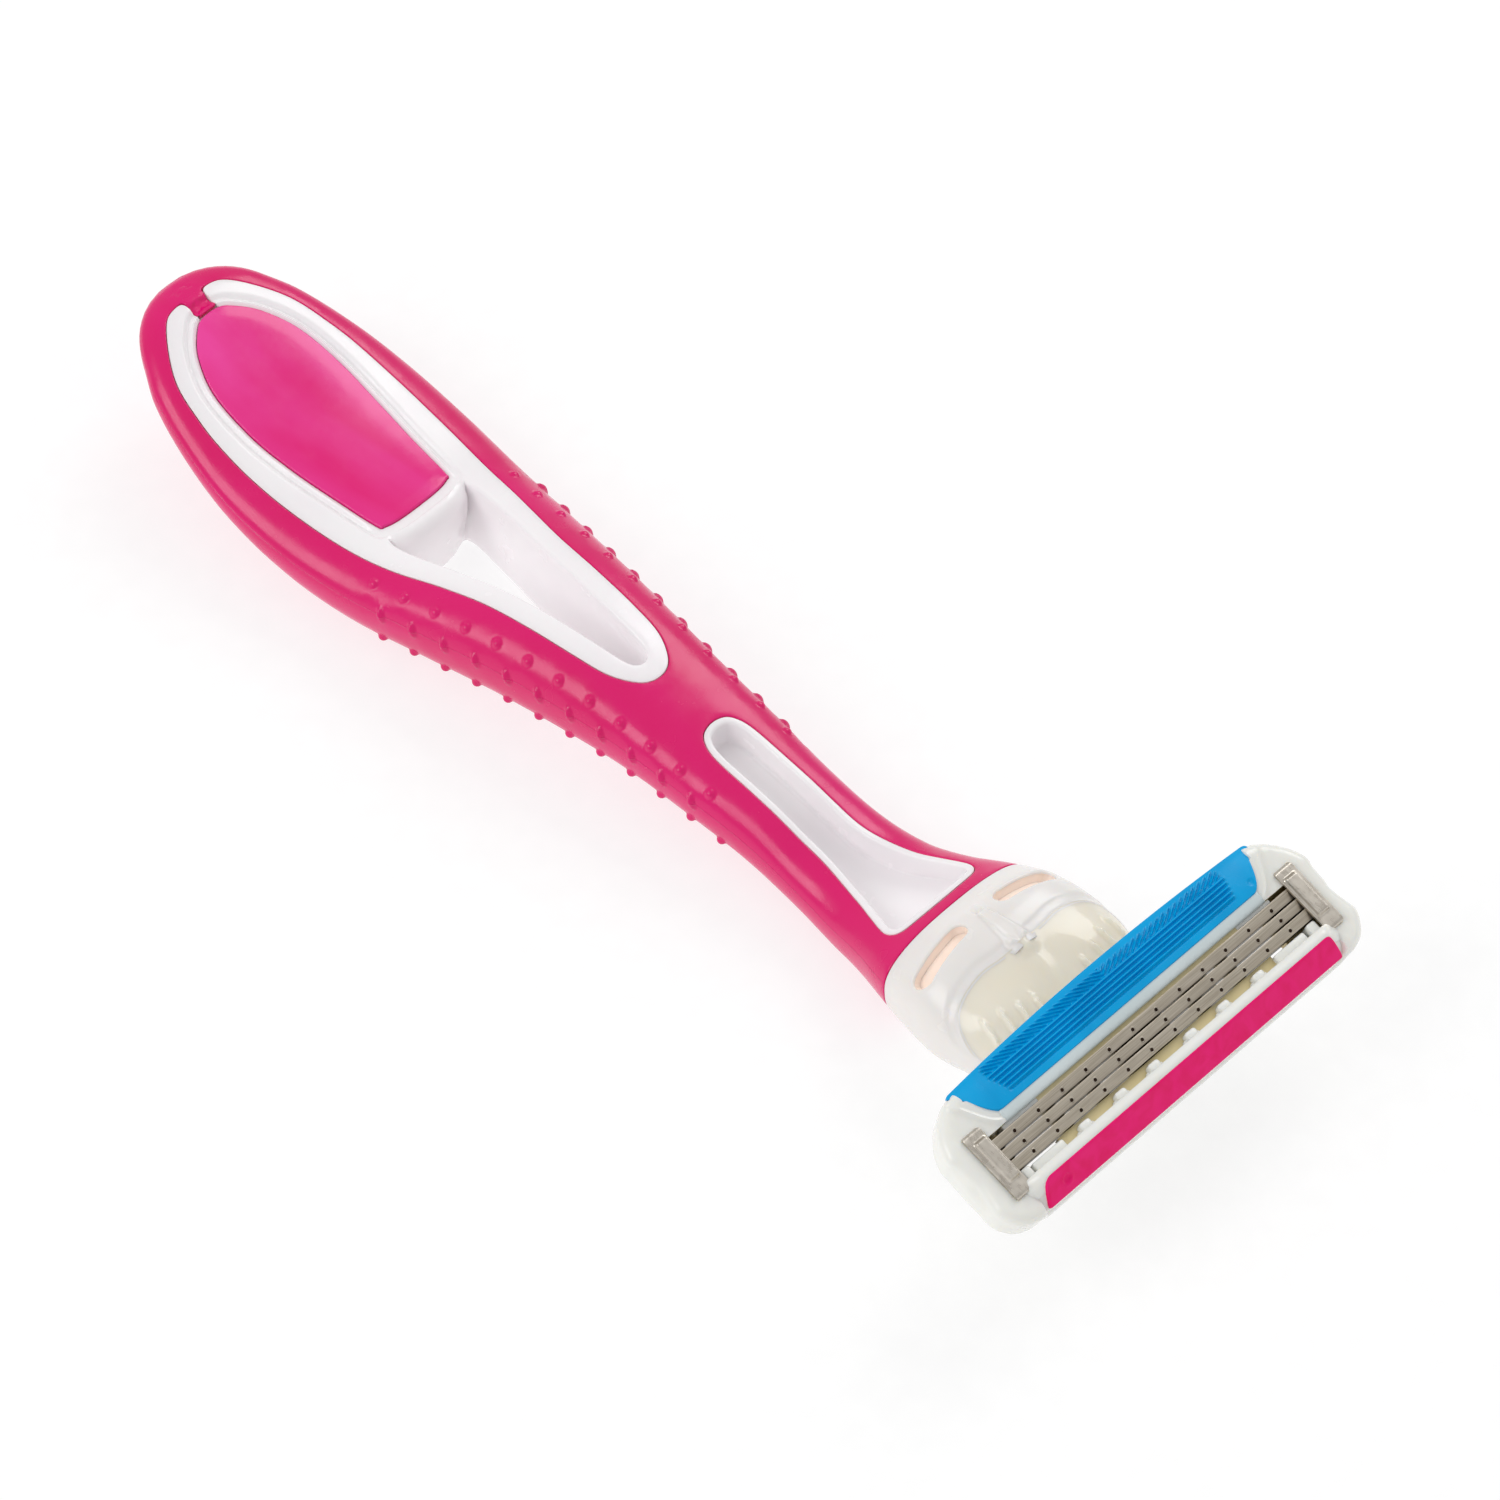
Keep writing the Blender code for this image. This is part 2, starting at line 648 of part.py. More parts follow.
def guard_section(x, grow=0.0):
    """The guard strip's section at x, as (y, z) points: its top with fins, then its underside.

    grow makes the form for its seat instead, which is open above."""
    share = abs(x) / GUARD_HALF
    outer = GUARD_OUTER_Y[0] + (GUARD_OUTER_Y[1] - GUARD_OUTER_Y[0]) * share ** 2 - grow
    slant = (abs(x) - GUARD_INNER_HALF) / (GUARD_HALF - GUARD_INNER_HALF)
    slant = min(max(slant, 0.0), 1.0)
    eased = slant * slant * (3 - 2 * slant)
    inner = GUARD_INNER_Y + (outer + grow + 0.5 - GUARD_INNER_Y) * eased + grow
    fin_window = 1.0 if abs(x) <= FIN_HALF else 0.0

    def top_z(y):
        down = max((GUARD_INNER_Y - y) / (GUARD_INNER_Y - GUARD_OUTER_Y[0]), 0.0)
        return 0.15 - 1.05 * down ** 2.2

    marks = []
    for fin in FIN_Y:
        marks += [(fin + 0.16, 0), (fin + 0.06, 1), (fin - 0.06, 1), (fin - 0.16, 0)]
    top = [(inner, 0)]
    top += [(min(max(y, outer + 0.3), inner - 0.02), lift) for y, lift in marks]
    top += [(outer, 0)]
    if grow:
        upper = [(y, 2.0) for y, _ in top]
    else:
        upper = [(y, top_z(y) + lift * FIN_HEIGHT * fin_window) for y, lift in top]
    floor = -GUARD_THICK - grow
    lower = [(outer, top_z(outer) - GUARD_THICK * 0.6 - grow), (outer + 0.35, floor - 0.6), (inner, floor)]
    return upper + lower


def guard_loft(name, grow, finish=None):
    ends = [GUARD_HALF + grow, 18.2, 17.6, 17.0, 16.4, 15.8, 15.2, FIN_HALF + 0.3, FIN_HALF, 9.0, 4.5]
    stations = [-x for x in ends] + [0.0] + list(reversed(ends))
    rings = [[Vector((x, y, z)) for y, z in guard_section(x, grow)] for x in stations]
    return loft(name, rings, finish)


def strip_form(name, grow, finish=None):
    """The slanted strip: a trapezoid of even thickness, longer at its foot."""
    across = STRIP_FOOT - STRIP_TOP
    outward = Vector((0, -across.z, across.y)).normalized()
    along = across.normalized()
    bm = bmesh.new()
    corners = []
    for edge, half in ((STRIP_TOP - along * grow, STRIP_HALF[0] + grow),
                       (STRIP_FOOT + along * grow, STRIP_HALF[1] + grow)):
        for x in (-half, half):
            corners.append(edge + Vector((x, 0, 0)))
    order = [corners[0], corners[1], corners[3], corners[2]]
    lift = outward * (2.0 if grow else 0.0)
    face = bm.faces.new([bm.verts.new(c + lift) for c in order])
    raised = bmesh.ops.extrude_face_region(bm, geom=[face])
    moved = [v for v in raised["geom"] if isinstance(v, bmesh.types.BMVert)]
    bmesh.ops.translate(bm, vec=-outward * (STRIP_THICK + grow) - lift, verts=moved)
    made = object_from(name, bm, finish)
    return made


def cartridge_housing():
    low, high = HOUSING_Z
    outline = rounded_rectangle(HOUSING_HALF, HOUSING_Y[0], HOUSING_Y[1], HOUSING_CORNER)
    body = prism("cartridge_housing", outline, low, high, "housing")
    bevel(body, 0.7, 3)
    bar = [(2.7, -4.3), (2.7, 0.7), (2.95, 0.95), (3.55, 1.1), (5.75, -1.15), (5.9, -1.8), (5.2, -4.2)]
    join(body, side_prism("cap_bar", bar, -18.9, 18.9))
    tongue_and_lugs(body)
    x = BLADE_POCKET_HALF
    cut(body, box("blade_pocket", (-x, BLADE_POCKET_Y[0], BLADE_POCKET_Z), (x, BLADE_POCKET_Y[1], 3.0)))
    walls = [-RINSE_HALF] + sorted([-r for r in RIB_X] + list(RIB_X)) + [RINSE_HALF]
    for k, (a, b) in enumerate(zip(walls, walls[1:])):
        half_rib = RIB_WIDTH / 2
        start = a + (half_rib if k else 0.0)
        end = b - (half_rib if k < len(walls) - 2 else 0.0)
        cut(body, box(f"rinse_bay_{k}", (start, RINSE_Y[0], -8.0 if k != 3 else -3.6), (end, RINSE_Y[1] - 0.02, 3.0)))
    cut(body, guard_loft("guard_seat", 0.12), strip_form("strip_seat", 0.1))
    for side in (1, -1):
        for end in (1, -1):
            xs = sorted((side * (CLIP_X[0] - FINE_GAP), side * (CLIP_X[1] + FINE_GAP)))
            ys = sorted((end * (CLIP_HALF - CLIP_LEG - FINE_GAP), end * (CLIP_HALF + FINE_GAP)))
            cut(body, box(f"clip_slot_{side}_{end}", (xs[0], ys[0], -8.0), (xs[1], ys[1], 3.0)))
        land = sorted((side * (CLIP_X[0] - FINE_GAP), side * (CLIP_X[1] + FINE_GAP)))
        cut(body, box(f"clip_land_{side}", (land[0], -CLIP_HALF - FINE_GAP, -CLIP_THICK - FINE_GAP),
                      (land[1], CLIP_HALF + FINE_GAP, 3.0)))
    return on_head_with_cutters(body)


def on_head_with_cutters(body):
    """Hangs a piece and everything that its Booleans use on the pivot's empty."""
    seen = []

    def gather(piece):
        for step in piece.modifiers:
            if step.type == "BOOLEAN" and step.object not in seen:
                seen.append(step.object)
                gather(step.object)

    gather(body)
    on_head(body, *seen)
    return body


def tongue_and_lugs(body):
    """Lugs that hold the pivot pins, and the tongue that the plunger pushes."""
    for side in (1, -1):
        arc = [
            (PIVOT_FACE.y + BOSS_RADIUS * math.cos(t), PIVOT_FACE.z + BOSS_RADIUS * math.sin(t))
            for t in np.linspace(math.radians(180), math.radians(360), 13)
        ]
        outline = arc + [(PIVOT_FACE.y + 1.9, -4.0), (PIVOT_FACE.y - 1.9, -4.0)]
        low, high = sorted((side * LUG_X[0], side * LUG_X[1]))
        lug = side_prism(f"lug_form_{side}", outline, low, high)
        join(body, lug)
        centre = (side * (LUG_X[0] + LUG_X[1]) / 2, PIVOT_FACE.y, PIVOT_FACE.z)
        cut(body, cylinder(f"lug_bore_{side}", PIN_RADIUS + 0.03, centre, 3.0, (1, 0, 0)))
    turn = Matrix.Rotation(-FACE_TILT, 3, "X")
    nose = PIVOT_FACE + turn @ (cam_centre() - PIVOT)
    away = (nose - Vector((0, 0.4, -4.2))).normalized()
    side_way = Vector((0, -away.z, away.y))
    heading = math.atan2(away.z, away.y)
    outline = [
        (nose.y + CAM_NOSE * math.cos(t), nose.z + CAM_NOSE * math.sin(t))
        for t in np.linspace(heading - math.pi / 2, heading + math.pi / 2, 11)
    ]
    for sign in (1, -1):
        root = Vector((0, 0.4, -3.4)) + side_way * sign * 1.3
        outline.append((root.y, root.z))
    join(body, side_prism("tongue", outline, -TONGUE_HALF, TONGUE_HALF))


def pivot_pin(side):
    name = "pivot_pin_left" if side < 0 else "pivot_pin_right"
    low, high = ARM_X[0] + 0.1, LUG_X[1]
    centre = (side * (low + high) / 2, PIVOT_FACE.y, PIVOT_FACE.z)
    pin = cylinder(name, PIN_RADIUS, centre, high - low, (1, 0, 0), "pin")
    bevel(pin, 0.12)
    return on_head(pin)


def blade_form(name, y_edge):
    """A thin strip, ground to an edge on the guard side and sloping down to the cap side."""
    slope = Vector((math.cos(BLADE_SLOPE), math.sin(BLADE_SLOPE)))
    down = Vector((slope.y, -slope.x))
    edge = Vector((y_edge, BLADE_EDGE_Z))
    ground = 0.3
    outline = [
        edge + down * BLADE_THICK * 0.4,
        edge + slope * ground,
        edge + slope * BLADE_WIDTH,
        edge + slope * BLADE_WIDTH + down * BLADE_THICK,
        edge + slope * ground + down * BLADE_THICK,
    ]
    return on_head(side_prism(name, outline, -BLADE_HALF, BLADE_HALF, "steel"))


def support_form(name, y_edge):
    """The bent strip under a blade: a sloping platform, and a leg that slides in the housing."""
    slope = Vector((math.cos(BLADE_SLOPE), math.sin(BLADE_SLOPE)))
    down = Vector((slope.y, -slope.x))
    edge = Vector((y_edge, BLADE_EDGE_Z)) + down * (BLADE_THICK + 0.03)
    front, rear = edge + slope * 0.4, edge + slope * 1.2
    leg_in = rear.x - SUPPORT_THICK
    inner = edge + slope * (1.2 - SUPPORT_THICK) + down * SUPPORT_THICK
    outline = [
        front,
        rear,
        Vector((rear.x, SUPPORT_LEG_Z)),
        Vector((leg_in, SUPPORT_LEG_Z)),
        Vector((leg_in, inner.y)),
        front + down * SUPPORT_THICK,
    ]
    return on_head(side_prism(name, outline, -BLADE_HALF + 0.2, BLADE_HALF - 0.2, "steel"))


def retaining_clip(side):
    """A staple over the blade ends: a plate with two legs, their tips bent in under the housing."""
    name = "clip_left" if side < 0 else "clip_right"
    half, leg, thick = CLIP_HALF, CLIP_LEG, CLIP_THICK
    foot = HOUSING_Z[0] - FINE_GAP
    outline = [
        (-half, CLIP_BOTTOM), (-half, -0.2), (-half + 0.2, 0.0), (half - 0.2, 0.0), (half, -0.2),
        (half, CLIP_BOTTOM), (half - 1.3, CLIP_BOTTOM), (half - 1.3, foot), (half - leg, foot),
        (half - leg, -thick), (-half + leg, -thick), (-half + leg, foot),
        (-half + 1.3, foot), (-half + 1.3, CLIP_BOTTOM),
    ]
    low, high = sorted((side * CLIP_X[0], side * CLIP_X[1]))
    clip = side_prism(name, outline, low, high, "clip")
    middle = side * (CLIP_X[0] + CLIP_X[1]) / 2
    boss = box(f"clip_boss_{side}", (middle - 0.62, -2.7, -0.1), (middle + 0.62, 2.7, 0.16))
    bevel(boss, 0.12, 2)
    join(clip, boss)
    return on_head_with_cutters(clip)


def cartridge():
    cartridge_housing()
    on_head(guard_loft("guard_strip", 0.0, "guard"))
    strip = strip_form("lubricating_strip", 0.0, "strip")
    bevel(strip, 0.15)
    on_head(strip)
    for side in (-1, 1):
        retaining_clip(side)
        pivot_pin(side)
    for k in range(3):
        y_edge = (k - 1) * BLADE_PITCH - BLADE_PITCH / 2
        blade_form(f"blade_{k + 1}", y_edge)
        support_form(f"blade_support_{k + 1}", y_edge)


handle_core()
grip_overmould()
palm_pad()
neck_shell()
return_plunger()
return_spring()
cartridge()
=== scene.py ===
"""Looks of the cartridge razor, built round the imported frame.

Lengths are in millimetres until a mesh is made. The handle's pieces are patches of one
body surface, given by stations along +Y, with sections that are half a closed curve from
the underside to the top. The cartridge is drawn in its face frame: x along the blades,
y towards the cap side and z out of the shaving face, with the middle blade at the origin.
"""

import math

import bmesh
import bpy
import numpy as np
from mathutils import Matrix, Vector
from mathutils.geometry import delaunay_2d_cdt


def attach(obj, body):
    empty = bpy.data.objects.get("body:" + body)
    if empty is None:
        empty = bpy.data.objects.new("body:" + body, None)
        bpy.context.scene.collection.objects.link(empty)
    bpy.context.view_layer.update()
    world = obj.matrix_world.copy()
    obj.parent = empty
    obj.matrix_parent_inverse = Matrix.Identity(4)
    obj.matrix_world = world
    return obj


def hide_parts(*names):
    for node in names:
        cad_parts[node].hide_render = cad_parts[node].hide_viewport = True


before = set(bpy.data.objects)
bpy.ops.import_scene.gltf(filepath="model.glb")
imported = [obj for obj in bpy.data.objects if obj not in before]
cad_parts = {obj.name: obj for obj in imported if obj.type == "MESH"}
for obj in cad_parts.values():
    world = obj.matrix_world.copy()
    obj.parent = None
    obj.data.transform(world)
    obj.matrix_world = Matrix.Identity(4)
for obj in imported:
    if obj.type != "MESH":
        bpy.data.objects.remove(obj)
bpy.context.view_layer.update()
MM = 0.001
TOP = math.pi / 2

# ---- Sizes of the handle ----------------------------------------------------------

# (y, half width, top, height of the widest point, bottom)
BODY = np.array([
    (-63.7, 6.2, 13.85, 11.75, 9.4),
    (-59.7, 7.1, 13.3, 11.1, 8.7),
    (-55.7, 9.15, 12.4, 9.75, 6.9),
    (-49.7, 10.8, 10.9, 8.0, 4.7),
    (-43.7, 11.6, 9.55, 6.4, 2.5),
    (-36.7, 11.6, 8.7, 5.3, 0.4),
    (-29.7, 10.9, 8.6, 5.0, -0.5),
    (-21.7, 9.65, 10.1, 5.5, 0.3),
    (-13.7, 8.4, 11.05, 6.3, 1.2),
    (-5.7, 7.3, 11.0, 6.5, 1.9),
    (1.3, 6.5, 10.1, 6.3, 2.2),
    (8.3, 6.0, 9.1, 5.7, 1.8),
    (15.3, 5.5, 8.1, 4.7, 0.9),
    (21.3, 5.65, 6.75, 3.9, 0.0),
    (26.3, 6.3, 6.85, 3.7, -0.3),
    (30.3, 7.2, 8.0, 4.6, 0.2),
    (34.3, 8.6, 9.5, 5.9, 1.0),
    (38.3, 9.6, 11.9, 6.2, 1.3),
    (42.3, 10.1, 12.1, 6.3, 1.6),
    (46.3, 9.7, 11.3, 6.8, 2.5),
    (50.3, 8.5, 9.7, 6.5, 3.4),
    (52.3, 7.7, 9.0, 6.3, 3.7),
])
SQUARENESS = 2.6
TAIL_Y = BODY[0, 0]
TAIL_ROUND = 5.0
SEAM_Y = 34.6        # the skin's end on the neck's centre line
SEAM_SIDE = 0.003    # how the seam bows with the distance from the centre line
SEAM_DROP = 0.10     # how it leans forward down the flanks
SEAM_GAP = 0.03      # half the hairline between two mouldings
NECK_END_Y = 51.5
NECK_FLAT_Y = 50.9
FRONT_ROUND = 0.6
HAIRLINE_DEPTH = 0.6

# Half outlines seen from above: (y, half width), from the tail side to the head side
RING = [(-60.4, 1.6), (-59.5, 3.9), (-55.2, 7.0), (-50.7, 8.2), (-46.7, 8.65), (-41.7, 8.7),
        (-36.7, 8.4), (-32.2, 7.9), (-26.7, 7.0), (-22.1, 5.95), (-17.7, 5.05), (-12.7, 4.45),
        (-7.7, 3.9), (-4.0, 3.3), (-1.6, 2.1), (-0.6, 0.8)]
PALM_PAD = [(-57.9, 1.0), (-57.1, 2.3), (-55.2, 3.95), (-51.7, 5.4), (-46.7, 5.8), (-41.7, 5.45),
            (-36.7, 4.85), (-32.0, 4.3), (-31.4, 3.9), (-31.0, 2.0)]
WINDOW = [(-29.3, 2.0), (-30.0, 4.3), (-29.6, 4.75), (-28.5, 4.8), (-26.7, 4.6), (-22.1, 3.75),
          (-17.7, 2.9), (-12.7, 2.25), (-7.7, 1.7), (-3.9, 1.2), (-2.7, 0.5)]
RECESS = [(6.6, 0.5), (7.1, 1.25), (8.8, 1.7), (13.3, 1.75), (18.3, 1.8), (22.3, 1.95), (26.9, 2.95),
          (29.6, 3.85), (31.1, 4.38), (31.9, 4.58), (32.35, 4.45), (32.55, 4.0), (32.65, 3.0), (32.72, 1.3)]
RECESS_RIM = 0.7
RECESS_DEPTH = 2.7
WINDOW_RIM = 1.4
BRIDGE_HALF = 1.1
BRIDGE_END_Y = -58.2
GATE = (-61.6, 13.55)    # the moulding gate at the tail: y and z

# Rows of grip beads: degrees above the widest point, first y, count
BEAD_ROWS = [(38.0, -27.7, 12), (9.5, -25.5, 11), (-22.0, -25.8, 12)]
BEAD_PITCH = 3.46
PARTING_ANGLE = math.radians(9.5)

# The collar's front lip, as (y, degrees above the widest point)
COLLAR_LIP = [(43.4, 90), (43.3, 80), (43.05, 67.5), (43.4, 48.8), (44.15, 35.8), (45.7, 23.5),
              (47.1, 15.5), (49.0, 9.0), (50.9, 5.0)]
SLOT_X = (1.75, 8.8)
SLOT_Y = 37.9
SLOT_BOW = 0.014
SLOT_WIDTH = 1.95
DIMPLE_Y = 37.75
STAR_Y = 43.0
DOME_SINK = 0.04
# The dome's short ribs: how far out, and where each starts and ends along the handle
DOME_RIBS = ((3.1, 47.2, 48.6), (4.7, 46.7, 48.3), (6.25, 46.0, 47.9), (7.8, 45.4, 47.4))

PLUNGER_TRAVEL = 2.3
PLUNGER_Z = 5.616
SPRING_RADIUS = 1.25
SPRING_WIRE = 0.2
SPRING_TURNS = 7

# ---- Sizes of the cartridge -------------------------------------------------------

FACE_TILT = math.radians(-18.4)
FACE = Matrix.Translation(Vector((0.0, 58.3, 14.38))) @ Matrix.Rotation(FACE_TILT, 4, "X")
PIVOT_FACE = Vector((0.0, -1.0, -6.4))    # the pivot in the face frame
PIVOT = (55.331, 8.623)                   # the pivot's y and z beside the handle
PIVOT_BOSS = 1.55
BLADE_PITCH = 1.17
BLADE_SLOPE = math.radians(-20.0)
BLADE_EDGE_Z = -0.3
BLADE_HALF = 19.9
BLADE_WIDTH = 1.04
WELD_PITCH = 2.91

# Half outline of the housing in the face frame: (y, half width); two corner lobes with a waist between
HOUSING = [(-7.0, 9.0), (-7.0, 16.0), (-6.95, 18.3), (-6.3, 20.0), (-4.85, 21.45), (-3.4, 22.2),
           (-2.55, 22.38), (-1.95, 22.2), (-0.9, 22.12), (0.5, 22.15), (1.4, 22.28), (2.4, 22.45),
           (3.2, 22.42), (4.05, 22.1), (5.1, 21.3), (5.75, 20.0), (5.9, 18.0), (5.9, 9.0)]
HOUSING_Z = (-4.4, -0.35)
POCKET_HALF = 20.2
POCKET_Y = (-2.2, 2.7)
POCKET_Z = -3.25
BAY_Y = (-1.9, 2.7)
RIB_X = (2.3, 6.4, 10.8)
RIB_WALL = 0.55
# The rinse windows of one side: where each starts and ends along the blades
BAYS = [(a + RIB_WALL, b - RIB_WALL) for a, b in zip(RIB_X, (*RIB_X[1:], 16.9))]
GUARD_HALF = 18.6
GUARD_INNER = (-3.25, 15.5)    # the inner edge's y, and where it starts to curve away
GUARD_OUTER = (-7.75, -7.05)
FIN_Y = (-4.2, -4.65, -5.1, -5.55, -6.0)
FIN_HALF = 14.6
FIN_HEIGHT = 0.24
FIN_PITCH = 0.75
STRIP_TOP = np.array([3.76, 1.05])
STRIP_FOOT = np.array([5.82, -1.06])
STRIP_EDGE = 0.24
# The strip's half length at places down its slope
STRIP_ENDS = ([0.0, 0.1, 0.35, 0.66, 1.1, 1.54, 2.3, 2.65, 2.95],
              [17.3, 17.55, 17.75, 17.87, 18.0, 18.1, 18.24, 18.28, 18.25])


# ---- Materials --------------------------------------------------------------------

SCATTER_SCALE = 1.5 * MM    # how far light spreads inside the moulded pieces


def srgb(red, green, blue):
    """A linear colour from 0 to 255 values."""
    shares = [value / 255 for value in (red, green, blue)]
    return (*(s / 12.92 if s <= 0.04045 else ((s + 0.055) / 1.055) ** 2.4 for s in shares), 1.0)


def shader_of(made):
    return made.node_tree.nodes["Principled BSDF"]


def set_shader(made, values):
    """Sets the shader's inputs by name."""
    for key, value in values.items():
        shader_of(made).inputs[key].default_value = value


def new_material(name, color, roughness, metallic=0.0, specular=0.5):
    made = bpy.data.materials.new(name)
    made.use_nodes = True
    made.diffuse_color = color
    set_shader(made, {"Base Color": color, "Roughness": roughness, "Metallic": metallic,
                      "Specular IOR Level": specular})
    return made


def node(made, kind, **values):
    """A node with its inputs and properties set by name."""
    new = made.node_tree.nodes.new(kind)
    for key, value in values.items():
        if key in new.inputs:
            new.inputs[key].default_value = value
        else:
            setattr(new, key, value)
    return new


def link(made, source, target):
    made.node_tree.links.new(source, target)


def noise(made, scale, detail=3.0, stretch=(1.0, 1.0, 1.0), distortion=0.0):
    """Noise in the object's own frame; scale is in features per millimetre."""
    place = node(made, "ShaderNodeTexCoord")
    turn = node(made, "ShaderNodeMapping", Scale=[scale / MM * s for s in stretch])
    made_noise = node(made, "ShaderNodeTexNoise", Scale=1.0, Detail=detail, Distortion=distortion)
    link(made, place.outputs["Object"], turn.inputs["Vector"])
    link(made, turn.outputs["Vector"], made_noise.inputs["Vector"])
    return made_noise.outputs["Fac"]


def ramp(made, source, stops):
    """Colours or greys along a value."""
    made_ramp = node(made, "ShaderNodeValToRGB")
    for element, (at, color) in zip(made_ramp.color_ramp.elements, stops):
        element.position = at
        element.color = color if hasattr(color, "__len__") else (color, color, color, 1.0)
    link(made, source, made_ramp.inputs["Fac"])
    return made_ramp.outputs["Color"]


def bump(made, source, depth, strength=1.0, under=None):
    """Relief of a depth in millimetres, laid on any relief below it."""
    made_bump = node(made, "ShaderNodeBump", Strength=strength, Distance=depth * MM)
    link(made, source, made_bump.inputs["Height"])
    if under is not None:
        link(made, under, made_bump.inputs["Normal"])
    return made_bump.outputs["Normal"]


def dress(made, color, roughness, reliefs):
    """Links a colour, a roughness and reliefs of (source, depth, strength) that lie on one another."""
    normal = None
    for relief in reliefs:
        normal = bump(made, *relief, normal)
    for key, source in (("Base Color", color), ("Roughness", roughness), ("Normal", normal)):
        link(made, source, shader_of(made).inputs[key])
    return made


def elastomer(name, dark, light, roughness, grain, swirl, specular=0.45):
    """Moulded elastomer: flow marks in its colour, which on the pad are partly a painted sheen of its
    reflections, and a fine grain on its skin.
    """
    made = new_material(name, srgb(*light), roughness, specular=specular)
    flow_marks_and_sheen = noise(made, swirl, 4.0, (1.0, 0.35, 1.0), 1.2)
    fine = noise(made, grain, 2.0)
    broad = noise(made, 0.5, 2.0)
    return dress(made, ramp(made, flow_marks_and_sheen, [(0.32, srgb(*dark)), (0.62, srgb(*light))]),
                 ramp(made, broad, [(0.35, roughness - 0.05), (0.7, roughness + 0.07)]),
                 [(broad, 0.06, 0.25), (fine, 0.012, 0.5)])


def moulded(name, color, shade, roughness, scatter, radius):
    """Glossy moulding: light goes into it a little, and its skin is faintly uneven."""
    made = new_material(name, srgb(*color), roughness)
    set_shader(made, {"Subsurface Weight": scatter, "Subsurface Radius": radius,
                      "Subsurface Scale": SCATTER_SCALE})
    cloud = noise(made, 0.12, 3.0)
    broad = noise(made, 0.35, 2.0)
    fine = noise(made, 6.0, 2.0)
    return dress(made, ramp(made, cloud, [(0.3, srgb(*shade)), (0.65, srgb(*color))]),
                 ramp(made, broad, [(0.3, roughness - 0.05), (0.7, roughness + 0.08)]),
                 [(broad, 0.02, 0.2), (fine, 0.003, 0.3)])


def metal(name, light, dark, roughness, stretch, scratch=0.004):
    """Rolled or ground metal, with fine lines along the axis of the smallest stretch."""
    made = new_material(name, srgb(*light), roughness, metallic=1.0)
    lines = noise(made, 1.0, 4.0, stretch)
    blotch = noise(made, 0.6, 3.0)
    mixed = node(made, "ShaderNodeMix", data_type="RGBA", blend_type="MULTIPLY")
    mixed.inputs["Factor"].default_value = 0.6
    link(made, ramp(made, lines, [(0.3, srgb(*dark)), (0.7, srgb(*light))]), mixed.inputs["A"])
    link(made, ramp(made, blotch, [(0.3, 0.88), (0.7, 1.0)]), mixed.inputs["B"])
    return dress(made, mixed.outputs["Result"],
                 ramp(made, lines, [(0.25, roughness - 0.06), (0.75, roughness + 0.14)]),
                 [(lines, scratch, 0.5)])


SKIN_PINK = elastomer("skin_pink", (219, 0, 97), (226, 2, 111), 0.22, 9.0, 0.06)
# The pad's lighter and darker swirls are partly flow marks and partly a painted sheen of its glossy
# reflections.
PAD_PINK = elastomer("pad_pink", (230, 20, 120), (242, 66, 160), 0.16, 9.0, 0.045)
GUARD_BLUE = elastomer("guard_blue", (0, 156, 218), (0, 166, 228), 0.22, 9.0, 0.15, 0.18)
STRIP_PINK = elastomer("strip_pink", (238, 4, 104), (246, 18, 120), 0.5, 5.0, 0.5, 0.2)
CORE_WHITE = moulded("core_white", (252, 247, 249), (249, 243, 246), 0.2, 0.3, (1.0, 0.85, 0.9))
COLLAR_WHITE = moulded("collar_white", (240, 237, 234), (235, 230, 226), 0.2, 0.4, (1.0, 0.8, 0.6))
DOME_CREAM = moulded("dome_cream", (242, 236, 222), (238, 229, 210), 0.14, 0.4, (1.0, 0.85, 0.6))
HOUSING_WHITE = moulded("housing_white", (241, 241, 236), (237, 237, 230), 0.2, 0.4, (1.0, 0.9, 0.75))
INNER_TAN = moulded("inner_tan", (224, 208, 160), (212, 195, 144), 0.4, 0.1, (1.0, 0.8, 0.5))
CLEAR_BAR = moulded("clear_bar", (212, 222, 224), (200, 212, 214), 0.16, 0.0, (1.0, 1.0, 1.0))
PLUNGER_WHITE = moulded("plunger_white", (222, 220, 212), (210, 207, 198), 0.4, 0.3, (1.0, 0.9, 0.8))
PEACH_PAINTED_GLOW = moulded("peach_inside_painted_glow", (244, 226, 213), (238, 215, 200), 0.45, 0.5, (1.0, 0.75, 0.6))
# The slots' inner layer glows: its emission is painted light, for light coming through the shell.
set_shader(PEACH_PAINTED_GLOW, {"Emission Color": (1.0, 0.84, 0.74, 1.0), "Emission Strength": 0.16})
BLADE_STEEL = metal("blade_steel", (214, 205, 190), (182, 171, 153), 0.32, (0.25, 14.0, 14.0))
# The supports' steel is darkened as painted shade, so they show as dark gaps between the blades.
SHADED_SUPPORT_STEEL = metal("support_steel_painted_shade", (120, 111, 96), (84, 76, 64), 0.4, (0.3, 10.0, 10.0))
CLIP_METAL = metal("clip_metal", (216, 209, 198), (200, 192, 180), 0.26, (2.0, 0.8, 2.0), 0.0015)
PIN_STEEL = metal("pin_steel", (190, 190, 188), (140, 140, 138), 0.32, (12.0, 1.0, 1.0))
WELD_DARK = metal("weld_dark", (74, 58, 48), (38, 28, 24), 0.55, (3.0, 3.0, 3.0))
WELD_RING = metal("weld_ring", (214, 206, 192), (170, 160, 144), 0.3, (8.0, 8.0, 8.0))


